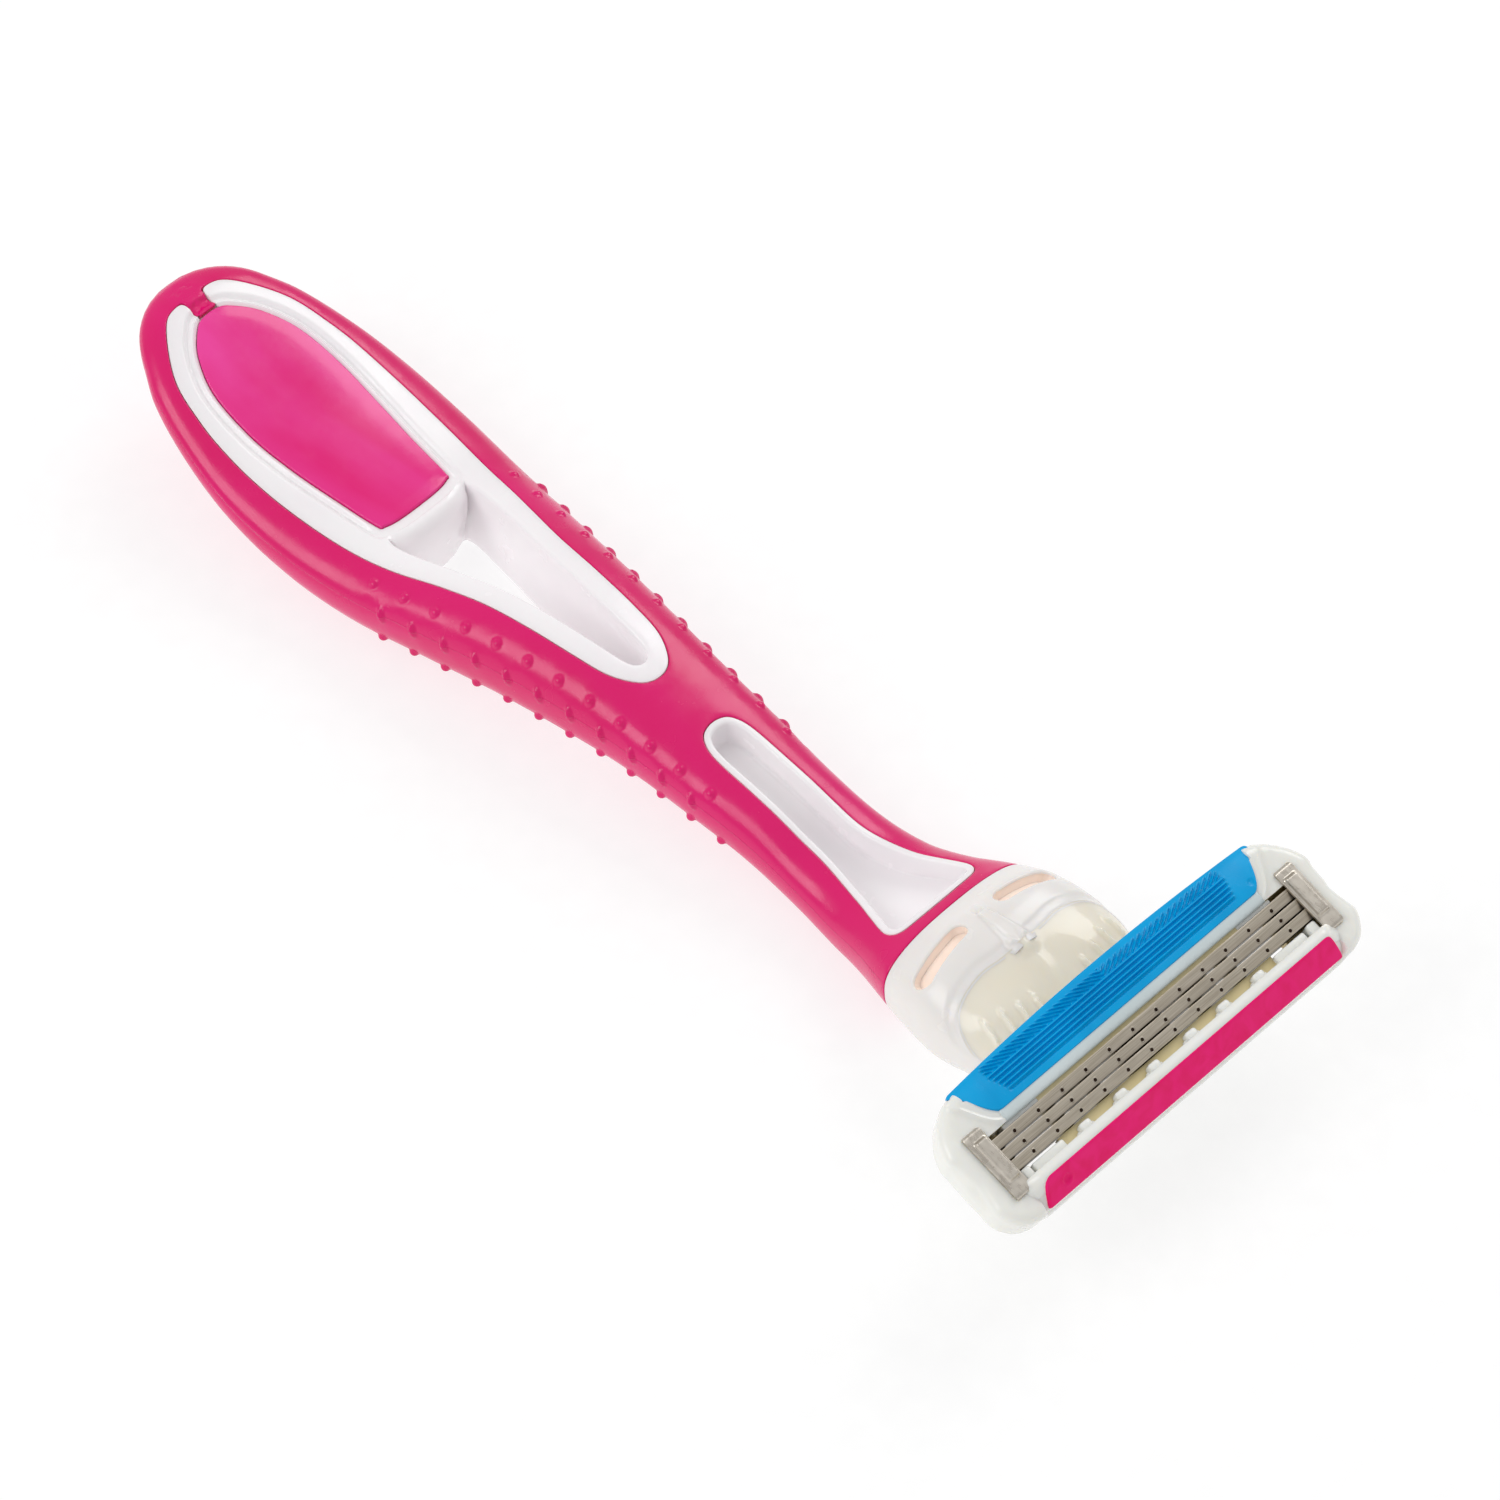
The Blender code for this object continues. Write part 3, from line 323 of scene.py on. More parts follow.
def add_parting_line(made):
    """A hairline ridge where the two halves of the mould met."""
    normal = shader_of(made).inputs["Normal"]
    where = node(made, "ShaderNodeAttribute", attribute_name="parting")
    size = node(made, "ShaderNodeMath", operation="ABSOLUTE")
    link(made, where.outputs["Fac"], size.inputs[0])
    line = ramp(made, size.outputs[0], [(0.0, 1.0), (0.09, 0.0)])
    link(made, bump(made, line, 0.035, 1.0, normal.links[0].from_socket), normal)


add_parting_line(SKIN_PINK)


# ---- Meshes -----------------------------------------------------------------------

def smooth_object(name, mesh, sharp):
    mesh.shade_smooth()
    mesh.set_sharp_from_angle(angle=math.radians(sharp))
    return bpy.data.objects.new(name, mesh)


def finish_piece(made, finish, body):
    """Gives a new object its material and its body."""
    bpy.context.scene.collection.objects.link(made)
    made.data.materials.append(finish)
    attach(made, body)
    return made


class Net:
    """Points and faces of one piece, gathered in millimetres."""

    def __init__(self):
        self.points = []
        self.faces = []
        self.values = []

    def add(self, points, faces, values=None):
        base = len(self.points)
        self.points += [tuple(p) for p in points]
        self.faces += [tuple(base + i for i in face) for face in faces]
        self.values += [1.0] * len(points) if values is None else [float(v) for v in values]

    def rows(self, rows, closed=False):
        """Quads between rows that have the same number of points."""
        count = len(rows[0])
        faces = []
        for r in range(len(rows) - 1):
            for k in range(count if closed else count - 1):
                a, b = r * count + k, r * count + (k + 1) % count
                faces.append((a, b, b + count, a + count))
        self.add([p for row in rows for p in row], faces)

    def cap(self, row):
        self.add(row, [tuple(range(len(row)))])

    def mirror(self):
        base = len(self.points)
        self.points += [(-p[0], p[1], p[2]) for p in self.points]
        self.faces += [tuple(base + i for i in reversed(face)) for face in self.faces]
        self.values += list(self.values)

    def piece(self, name, finish, body, slot, centre=None, turn=Matrix.Identity(4), value_name=None):
        """The object, merged along its joins, facing away from a centre, and riding on a body."""
        mesh = bpy.data.meshes.new(name)
        mesh.from_pydata([turn @ Vector(p) for p in self.points], [], self.faces)
        if value_name:
            attribute = mesh.attributes.new(value_name, "FLOAT", "POINT")
            attribute.data.foreach_set("value", np.array(self.values, np.float32))
        bm = bmesh.new()
        bm.from_mesh(mesh)
        bmesh.ops.remove_doubles(bm, verts=bm.verts[:], dist=0.004)
        bmesh.ops.recalc_face_normals(bm, faces=bm.faces[:])
        middle = turn @ Vector(centre) if centre else sum((v.co for v in bm.verts), Vector()) / len(bm.verts)
        if sum((f.calc_center_median() - middle).dot(f.normal) * f.calc_area() for f in bm.faces) < 0:
            bmesh.ops.reverse_faces(bm, faces=bm.faces[:])
        bmesh.ops.scale(bm, vec=(MM, MM, MM), verts=bm.verts[:])
        bm.to_mesh(mesh)
        bm.free()
        return finish_piece(smooth_object(name, mesh, 50), finish, body)


def rounded_mesh(name, bm, round_by, turn, segments=3):
    """An object with its edges rounded, turned into place."""
    bmesh.ops.recalc_face_normals(bm, faces=bm.faces[:])
    if round_by:
        edges = [e for e in bm.edges if len(e.link_faces) == 2 and e.calc_face_angle(0) > math.radians(30)]
        bmesh.ops.bevel(bm, geom=edges, offset=round_by, segments=segments, profile=0.5, affect="EDGES",
                        clamp_overlap=True)
    bmesh.ops.transform(bm, matrix=Matrix.Scale(MM, 4) @ turn, verts=bm.verts[:])
    mesh = bpy.data.meshes.new(name)
    bm.to_mesh(mesh)
    bm.free()
    return smooth_object(name, mesh, 40)


def side_plate(name, outline, ends, round_by, turn=FACE, segments=3):
    """An outline in y and z drawn out along x between two ends, with rounded edges."""
    bm = bmesh.new()
    low, high = sorted(ends)
    face = bm.faces.new([bm.verts.new((low, p[0], p[1])) for p in outline])
    raised = bmesh.ops.extrude_face_region(bm, geom=[face])
    moved = [v for v in raised["geom"] if isinstance(v, bmesh.types.BMVert)]
    bmesh.ops.translate(bm, vec=(high - low, 0, 0), verts=moved)
    return rounded_mesh(name, bm, round_by, turn, segments)


def block(name, x, y, z, round_by, finish, slot="housing"):
    """A box in the face frame between pairs of limits, with rounded edges."""
    low, high = (Vector(ends) for ends in zip(*(sorted(pair) for pair in (x, y, z))))
    bm = bmesh.new()
    bmesh.ops.create_cube(bm, size=1.0)
    bmesh.ops.scale(bm, vec=high - low, verts=bm.verts[:])
    bmesh.ops.translate(bm, vec=(low + high) / 2, verts=bm.verts[:])
    finish_piece(rounded_mesh(name, bm, round_by, FACE), finish, "cartridge")


# ---- Lines and curves -------------------------------------------------------------

def unit(vectors):
    return vectors / np.maximum(np.linalg.norm(vectors, axis=-1, keepdims=True), 1e-12)


def smooth_step(low, high, value):
    t = np.clip((value - low) / (high - low), 0, 1)
    return t * t * (3 - 2 * t)


def spans(*pieces):
    """Values over several even stretches, each given as first, last and count."""
    return np.concatenate([np.linspace(*piece) for piece in pieces])


def arc(x, y, radius, start, end, count):
    """Points of an arc between two angles in degrees."""
    return [(x + radius * math.cos(t), y + radius * math.sin(t))
            for t in np.radians(np.linspace(start, end, count))]


def resample(line, spacing):
    """The same line with even steps."""
    line = np.array(line, float)
    lengths = np.concatenate([[0.0], np.cumsum(np.linalg.norm(np.diff(line, axis=0), axis=1))])
    count = max(int(round(lengths[-1] / spacing)), 2)
    at = np.linspace(0, lengths[-1], count + 1)
    return np.stack([np.interp(at, lengths, line[:, k]) for k in range(line.shape[1])], 1)


def spline(p0, p1, p2, p3, count):
    """Points from p1 towards p2 on a smooth curve through all four."""
    t = np.linspace(0, 1, count, endpoint=False)[:, None]
    return 0.5 * (2 * p1 + (p2 - p0) * t + (2 * p0 - 5 * p1 + 4 * p2 - p3) * t * t
                  + (3 * p1 - p0 - 3 * p2 + p3) * t ** 3)


def closed_curve(half_outline, per_span=14):
    """A smooth loop through a half outline and its mirror image."""
    side = np.array([(x, y) for y, x in half_outline])
    points = np.concatenate([side[::-1] * (-1, 1), side])
    around = [np.roll(points, k, axis=0) for k in (1, 0, -1, -2)]
    return np.concatenate([spline(*four, per_span) for four in zip(*around)])


def curve_through(points, spacing):
    """A smooth open line through points."""
    points = np.array(points, float)
    ends = np.concatenate([[2 * points[0] - points[1]], points, [2 * points[-1] - points[-2]]])
    curves = [spline(*four, 20) for four in zip(ends, ends[1:], ends[2:], ends[3:])]
    return resample(np.concatenate([*curves, points[-1:]]), spacing)


def loop_normals(loop):
    """Outward normals of a closed loop."""
    along = np.roll(loop, -1, axis=0) - np.roll(loop, 1, axis=0)
    return unit(np.stack([along[:, 1], -along[:, 0]], 1))


def line_normals(line):
    """Outward normals of an open line; where an end is on the mirror plane, its normal is too."""
    along = np.gradient(line, axis=0)
    normal = np.stack([along[:, 1], -along[:, 0]], 1)
    for end in (0, -1):
        if abs(line[end, 0]) < 1e-6:
            normal[end] = (0.0, -1.0 if end == 0 else 1.0)
    return unit(normal)


def half_line(half_outline, grow=0.0, spacing=0.3, start_x=0.0):
    """The +X half of an outline, from the tail to the head, moved outwards by grow."""
    full = closed_curve(half_outline)
    full = full + loop_normals(full) * grow
    tail = full[:, 1] < full[:, 1].mean()
    before = np.roll(full, 1, axis=0)
    first = np.nonzero((before[:, 0] <= start_x) & (start_x < full[:, 0]) & tail)[0][0]
    turned = np.roll(full, -first, axis=0)
    last = np.nonzero(turned[:, 0] <= 0)[0][0]

    def crossing(a, b, x):
        return [(x, a[1] + (x - a[0]) / (b[0] - a[0]) * (b[1] - a[1]))]

    start = crossing(before[first], full[first], start_x)
    end = crossing(turned[last - 1], turned[last], 0.0)
    return resample(np.concatenate([start, turned[:last], end]), spacing)


def both_halves(line):
    """A half outline from above, followed by its mirror image."""
    return np.concatenate([line, line[::-1] * (-1, 1)])


def soften(line, at, reach):
    """Rounds the corner of a line near a point."""
    near = np.linalg.norm(line - np.array(at), axis=1) < reach
    for _ in range(6):
        moved = line.copy()
        moved[1:-1] = (line[:-2] + 2 * line[1:-1] + line[2:]) / 4
        line = np.where(near[:, None], moved, line)
    return line


def moved_row(line, normal, offset, height):
    """A half outline moved out by an offset; its heights are numbers or a function of x and y."""
    moved = line + normal * np.broadcast_to(offset, len(line))[:, None]
    moved[:, 0] = np.maximum(moved[:, 0], 0.0)
    moved[[0, -1], 0] = 0.0
    return np.column_stack([moved, height(*moved.T) if callable(height) else height])


def inside(points, loop):
    """Whether each point lies inside a closed loop."""
    result = np.zeros(len(points), bool)
    x, y = points[:, 0], points[:, 1]
    for (x0, y0), (x1, y1) in zip(loop, np.roll(loop, -1, axis=0)):
        if y0 != y1:
            result ^= ((y0 > y) != (y1 > y)) & (x < (x1 - x0) * (y - y0) / (y1 - y0) + x0)
    return result


def distance_to(points, line):
    """Distance of each point to an open line."""
    best = np.full(len(points), 1e9)
    for start, end in zip(line[:-1], line[1:]):
        along = end - start
        t = np.clip(((points - start) @ along) / max(along @ along, 1e-12), 0, 1)
        gap = points - (start + t[:, None] * along)
        best = np.minimum(best, np.hypot(gap[:, 0], gap[:, 1]))
    return best


def triangulate(loops, spacing, fine=None):
    """Triangles inside the first loop and outside the others: points, faces, and each point's loop index.

    fine gives extra points, which thin out the even ones round them."""
    low, high = loops[0].min(0), loops[0].max(0)
    rows = []
    for k, w in enumerate(np.arange(low[1], high[1], spacing * math.sqrt(3) / 2)):
        v = np.arange(low[0] + spacing / 2 * (k % 2), high[0], spacing)
        rows.append(np.stack([v, np.full_like(v, w)], 1))
    grid = np.concatenate(rows)
    if fine is not None:
        cell = spacing * 0.75
        taken = {(int(a) + i, int(b) + j)
                 for a, b in np.floor(fine / cell) for i in (-1, 0, 1) for j in (-1, 0, 1)}
        free = [(int(a), int(b)) not in taken for a, b in np.floor(grid / cell)]
        grid = np.concatenate([grid[np.array(free)], fine])
    grid = grid[inside(grid, loops[0])]
    for hole in loops[1:]:
        grid = grid[~inside(grid, hole)]
    for loop in loops:
        edge_step = np.median(np.linalg.norm(np.diff(loop, axis=0), axis=1))
        away = distance_to(grid, np.concatenate([loop, loop[:1]]))
        grid = grid[away > 0.45 * min(spacing, edge_step * 1.6)]
    edges, own = [], 0
    for loop in loops:
        count = len(loop)
        edges += [(own + i, own + (i + 1) % count) for i in range(count)]
        own += count
    points = [Vector(p) for p in np.concatenate([*loops, grid])]
    coords, _, faces, origins, _, _ = delaunay_2d_cdt(points, edges, [], 1, 1e-7, True)
    index = [origin[0] if origin and origin[0] < own else -1 for origin in origins]
    flat = np.array([tuple(c) for c in coords])
    middles = np.array([flat[list(face)].mean(0) for face in faces])
    keep = inside(middles, loops[0])
    for hole in loops[1:]:
        keep &= ~inside(middles, hole)
    return flat, [f for f, k in zip(faces, keep) if k], index


# ---- The body surface -------------------------------------------------------------

def station(column, y):
    """A smooth value along the body, from one column of its table."""
    ys, values = BODY[:, 0], BODY[:, column]
    y = np.clip(y, ys[0], ys[-1])
    i = np.clip(np.searchsorted(ys, y) - 1, 0, len(ys) - 2)
    low = np.clip(np.arange(len(ys)) - 1, 0, None)
    high = np.clip(np.arange(len(ys)) + 1, None, len(ys) - 1)
    slopes = (values[high] - values[low]) / (ys[high] - ys[low])
    step = ys[i + 1] - ys[i]
    t = (y - ys[i]) / step
    return ((1 + 2 * t) * (1 - t) ** 2 * values[i] + t * (1 - t) ** 2 * step * slopes[i]
            + t * t * (3 - 2 * t) * values[i + 1] - t * t * (1 - t) * step * slopes[i + 1])


def section(y):
    """Half width, top, middle height and bottom, and how much the tail's rounding leaves of them."""
    from_tip = np.clip((y - TAIL_Y) / TAIL_ROUND, 0.0, 1.0)
    return (*(station(column, y) for column in (1, 2, 3, 4)), np.sqrt(1 - (1 - from_tip) ** 2))


def on_body(y, angle):
    """Points of the body's surface on the +X side; the angle goes from -90 degrees below to 90 on top."""
    y, angle = np.broadcast_arrays(np.asarray(y, float), np.asarray(angle, float))
    half, top, middle, bottom, share = section(y)
    power = 2 / SQUARENESS
    c, s = np.cos(angle), np.sin(angle)
    reach = np.where(s > 0, top - middle, middle - bottom)
    z = middle + reach * share * np.sign(s) * np.abs(s) ** power
    return np.stack([half * share * np.abs(c) ** power, y, np.maximum(z, 0.0)], -1)


def height_at(x, y, above=True):
    """Height of the body's top or underside over a point."""
    half, top, middle, bottom, share = section(y)
    across = np.clip(np.abs(x) / np.maximum(half * share, 1e-6), 0, 1)
    rise = share * (1 - across ** SQUARENESS) ** (1 / SQUARENESS)
    return middle + (top - middle) * rise if above else np.maximum(middle - (middle - bottom) * rise, 0.0)


def under_top(depth):
    """Heights at a depth below the body's top."""
    return lambda x, y: height_at(x, y) - depth


def angle_of(x, y, above=True):
    """The angle of the surface point over or under (x, y)."""
    half, _, _, _, share = section(y)
    angle = np.arccos(np.clip(np.abs(x) / np.maximum(half * share, 1e-6), 0, 1) ** (SQUARENESS / 2))
    return angle if above else -angle


def body_normal(y, angle):
    step = 2e-3
    around = on_body(y, np.clip(angle + step, -TOP, TOP)) - on_body(y, np.clip(angle - step, -TOP, TOP))
    along = on_body(y + step, angle) - on_body(np.clip(y - step, TAIL_Y + 1e-4, None), angle)
    normal = unit(np.cross(along, around))
    normal[..., 0] = np.where(np.abs(np.abs(angle) - TOP) < 1e-6, 0.0, normal[..., 0])
    return unit(normal)


class Chart:
    """Flattens the half body: lengths along it, and lengths round it from the middle of each section."""

    turn_count = 361
    turn_power = 1.5    # crowds the turns where the section is flattest

    def __init__(self):
        tip = TAIL_Y + TAIL_ROUND * (1 - np.cos(np.linspace(0, TOP, 40)))
        self.y = np.concatenate([tip, np.linspace(TAIL_Y + TAIL_ROUND, NECK_END_Y + 1, 460)[1:]])
        profile = on_body(self.y, np.full_like(self.y, TOP))
        self.v = np.concatenate([[0.0], np.cumsum(np.linalg.norm(np.diff(profile, axis=0), axis=1))])
        self.turns = np.linspace(-1.0, 1.0, self.turn_count)
        angles = TOP * np.sign(self.turns) * np.abs(self.turns) ** self.turn_power
        steps = np.linalg.norm(np.diff(on_body(self.y[:, None], angles[None, :]), axis=1), axis=2)
        lengths = np.concatenate([np.zeros((len(self.y), 1)), np.cumsum(steps, axis=1)], axis=1)
        self.total = lengths[:, -1]
        self.share = lengths / np.maximum(self.total[:, None], 1e-9)
        self.share[0] = self.share[1]

    def row_at(self, y):
        row = np.interp(y, self.y, np.arange(len(self.y)))
        low = np.clip(row.astype(int), 0, len(self.y) - 2)
        return low, row - low

    def flat(self, y, angle):
        """(v, w) of surface points."""
        y, angle = np.broadcast_arrays(np.asarray(y, float), np.asarray(angle, float))
        low, t = self.row_at(y)
        turned = np.sign(angle) * (np.abs(angle) / TOP) ** (1 / self.turn_power)
        column = (turned + 1) * (self.turn_count - 1) / 2
        left = np.clip(column.astype(int), 0, self.turn_count - 2)
        part = column - left
        near, far = (self.share[row, left] * (1 - part) + self.share[row, left + 1] * part
                     for row in (low, low + 1))
        across = (near * (1 - t) + far * t - 0.5) * np.interp(y, self.y, self.total)
        return np.stack([np.interp(y, self.y, self.v), across], -1)

    def back(self, flat):
        """(y, angle) of flat points."""
        y = np.interp(flat[:, 0], self.v, self.y)
        total = np.interp(y, self.y, self.total)
        share = np.clip(flat[:, 1] / np.maximum(total, 1e-9) + 0.5, 0, 1)
        turn = np.empty_like(y)
        for i, (part, low, t) in enumerate(zip(share, *self.row_at(y))):
            near, far = (np.interp(part, self.share[row], self.turns) for row in (low, low + 1))
            turn[i] = near * (1 - t) + far * t
        return y, TOP * np.sign(turn) * np.abs(turn) ** self.turn_power


CHART = Chart()


def fine_grid(xs, ys):
    """Chart points over a grid on the body's top."""
    x, y = (side.ravel() for side in np.meshgrid(xs, ys, indexing="ij"))
    return CHART.flat(y, angle_of(x, y))


def fine_rings(centre, rings):
    """Chart points in rings round a place: (radius, count), each second ring turned by half a step."""
    out = []
    for ring, (radius, count) in enumerate(rings):
        turn = 2 * math.pi * (np.arange(count) + 0.5 * (ring % 2)) / count
        out.append(centre + radius * np.stack([np.cos(turn), np.sin(turn)], 1))
    return np.concatenate(out)


def signed_area(loop):
    x, y = loop.T
    return np.sum(x * np.roll(y, -1) - np.roll(x, -1) * y)


def surface_patch(net, parts, spacing, fine=None, relief=None, hole=None, value=None):
    """A patch of the body surface, with lips.

    parts is the boundary of the +X half in order: (y, angle, radius, drop) with arrays y and angle, and
    hole is another such part. A radius above 0 rolls that stretch of the edge over and then drops it."""
    known_y, known_a = (np.concatenate([part[k][:-1] for part in parts]) for k in (0, 1))
    loops = [CHART.flat(known_y, known_a)]
    loops[0][np.isclose(known_y, TAIL_Y), 1] = 0.0
    if hole:
        loops.append(CHART.flat(*hole[:2]))
        known_y, known_a = np.concatenate([known_y, hole[0]]), np.concatenate([known_a, hole[1]])
    flat, faces, index = triangulate(loops, spacing, fine)
    y, angle = CHART.back(flat)
    for i, origin in enumerate(index):
        if origin >= 0:
            y[i], angle[i] = known_y[origin], known_a[origin]

    def lifted(y, angle):
        place, normal = on_body(y, angle), body_normal(y, angle)
        return (place if relief is None else place + normal * relief(place, y, angle)[:, None]), normal

    net.add(lifted(y, angle)[0], faces, None if value is None else value(y, angle))
    for part in [*parts, *([hole] if hole else [])]:
        part_y, part_a, radius, drop = part
        if radius <= 0:
            continue
        edge, normal = lifted(part_y, part_a)
        if part is hole:
            tangent = np.roll(edge, -1, axis=0) - np.roll(edge, 1, axis=0)
            turn = -signed_area(loops[1])
        else:
            tangent = np.gradient(edge, axis=0)
            turn = signed_area(loops[0])
        out = np.cross(tangent, normal) * np.sign(turn)
        for end in (0, -1):
            if part is not hole and abs(edge[end, 0]) < 1e-6:
                out[end, 0] = 0.0
        out = unit(out)
        rows = [edge]
        for t in np.radians((25, 50, 72, 90)):
            rows.append(edge + out * radius * math.sin(t) - normal * radius * (1 - math.cos(t)))
        for _ in range(2):
            rows.append(rows[-1] - normal * drop * 0.5)
        net.rows(rows, closed=part is hole)


def top_part(line, radius, drop, above=True):
    return (line[:, 1], angle_of(line[:, 0], line[:, 1], above), radius, drop)


def centre_part(y0, y1, above=True, spacing=0.35):
    """A stretch of the centre line."""
    y = np.linspace(y0, y1, max(int(abs(y1 - y0) / spacing), 1) + 1)
    return (y, np.full_like(y, TOP if above else -TOP), 0.0, 0.0)


def tail_part(y1, above=True):
    """The centre line from the tail's tip, with steps that suit its rounding."""
    v1 = np.interp(y1, CHART.y, CHART.v)
    y = np.interp(np.linspace(0, v1, int(v1 / 0.35) + 1), CHART.v, CHART.y)
    y[0], y[-1] = TAIL_Y, y1
    return (y, np.full_like(y, TOP if above else -TOP), 0.0, 0.0)


def reversed_part(part):
    return (part[0][::-1], part[1][::-1], part[2], part[3])


# ---- Camera, light and floor ------------------------------------------------------

def camera():
    """A long lens high on the cartridge's side."""
    data = bpy.data.cameras.new("camera")
    data.lens = 192.55
    data.sensor_width = 36.0
    data.clip_start = 0.05
    data.clip_end = 20.0
    made = bpy.data.objects.new("camera", data)
    bpy.context.scene.collection.objects.link(made)
    turn, rise = math.radians(45.70), math.radians(52.0)
    right = Vector((-math.cos(turn), math.sin(turn), 0.0))
    back = Vector((math.sin(turn) * math.cos(rise), math.cos(turn) * math.cos(rise), math.sin(rise)))
    aim = Matrix((right, back.cross(right), back)).transposed().to_4x4()
    made.matrix_world = Matrix.Translation(Vector((308.63, 311.70, 561.62)) * MM) @ aim
    bpy.context.scene.camera = made


BOX_SIZE = 0.5        # metres
BOX_DISTANCE = 0.95


def soft_box(name, direction, power):
    """A square area light that looks at the origin from a direction."""
    data = bpy.data.lights.new(name, "AREA")
    data.size = BOX_SIZE
    data.energy = power
    made = bpy.data.objects.new(name, data)
    bpy.context.scene.collection.objects.link(made)
    towards = Vector(direction).normalized()
    made.location = towards * BOX_DISTANCE
    made.rotation_euler = towards.to_track_quat("Z", "Y").to_euler()


def studio():
    """White surroundings, two soft boxes and a floor of white paper that glows a little."""
    scene = bpy.context.scene
    scene.view_settings.view_transform = "Standard"
    scene.view_settings.look = "None"
    world = bpy.data.worlds.new("studio")
    world.use_nodes = True
    background = world.node_tree.nodes["Background"]
    background.inputs["Color"].default_value = (1.0, 1.0, 1.0, 1.0)
    background.inputs["Strength"].default_value = 0.6
    scene.world = world
    soft_box("key", (-0.72, -0.16, 0.68), 2.5)
    soft_box("side", (0.66, -0.3, 0.62), 2.6)
    bm = bmesh.new()
    bmesh.ops.create_grid(bm, x_segments=2, y_segments=2, size=6.0)
    mesh = bpy.data.meshes.new("floor")
    bm.to_mesh(mesh)
    bm.free()
    floor = bpy.data.objects.new("floor", mesh)
    scene.collection.objects.link(floor)
    floor.location.z = -0.2 * MM
    paper = new_material("floor_white", (0.32, 0.32, 0.32, 1.0), 0.9, specular=0.1)
    set_shader(paper, {"Emission Color": (1.0, 1.0, 1.0, 1.0), "Emission Strength": 0.71})
    tone = ramp(paper, noise(paper, 0.4, 2.0), [(0.3, 0.31), (0.7, 0.33)])
    link(paper, tone, shader_of(paper).inputs["Base Color"])
    mesh.materials.append(paper)


# ---- Handle pieces ----------------------------------------------------------------

def seam_line(shift):
    """The seam between skin and neck shell, from the top to the underside."""
    angle = np.linspace(TOP, -TOP, 70)
    y = np.full_like(angle, SEAM_Y)
    top = station(2, SEAM_Y)
    for _ in range(8):
        place = on_body(y, angle)
        y = SEAM_Y + SEAM_SIDE * place[:, 0] ** 2 + SEAM_DROP * np.maximum(top - place[:, 2], 0) + shift
    return y, angle


def bead_places():
    """Each bead: place, two axes on the surface, half length, half width, height and (y, angle)."""
    beads = []
    for row, (degrees, first, count) in enumerate(BEAD_ROWS):
        for k in range(count):
            y, angle = np.array([first + k * BEAD_PITCH]), np.array([math.radians(degrees)])
            place, normal = on_body(y, angle)[0], body_normal(y, angle)[0]
            down = on_body(y, angle - 0.02)[0] - place
            down = unit(down - normal * (down @ normal))
            ahead = np.cross(normal, down)
            ahead *= np.sign(ahead[1])
            where = (y[0], angle[0])
            if row == 1:
                long_way = unit(down + 0.55 * ahead)
                beads.append((place, long_way, np.cross(normal, long_way), 0.98, 0.42, 0.42, where))
            else:
                beads.append((place, down, ahead, 0.52, 0.52, 0.3 if row == 0 else 0.4, where))
    return beads


BEADS = bead_places()


def skin_relief(place, y, angle):
    """The beads, the gate's ring at the tail, and the dip across the bridge."""
    lift = np.zeros(len(place))
    for centre, long_way, wide_way, length, width, height, _ in BEADS:
        offset = place - centre
        near = np.abs(offset).sum(1) < 3.0
        power = 1.7 if length > width else 2.0
        t = (np.abs(offset[near] @ long_way) / length) ** power
        t += (np.abs(offset[near] @ wide_way) / width) ** power
        lift[near] += height * np.maximum(1 - t, 0.0) ** 0.8 * smooth_step(1.0, 0.75, t)
    gate = np.linalg.norm(place - np.array([0.0, *GATE]), axis=1)
    lift -= 0.1 * np.exp(-((gate - 0.75) / 0.16) ** 2) * (place[:, 1] < -61.2)
    bridge = (place[:, 0] < 1.6) & (angle > 0.3)
    dip = smooth_step(-59.75, -59.35, y) * (1 - smooth_step(-58.75, -58.45, y))
    return lift - np.where(bridge, 0.4 * dip, 0.0)


def skin_points():
    """Extra points round each bead and the gate, and on the bridge."""
    bead_rings = ((0.0, 1), (0.18, 8), (0.34, 12), (0.48, 16), (0.6, 20), (0.74, 20), (0.9, 20), (1.08, 18))
    gate_rings = [(radius, 24) for radius in (0.3, 0.5, 0.65, 0.8, 0.95, 1.1)]
    points = [fine_rings(CHART.flat(*bead[-1]), bead_rings) for bead in BEADS]
    points.append(fine_rings(CHART.flat(GATE[0], TOP), gate_rings))
    points.append(fine_grid(np.arange(0.1, 1.2, 0.25), np.arange(-60.2, -58.3, 0.12)))
    return np.concatenate(points)


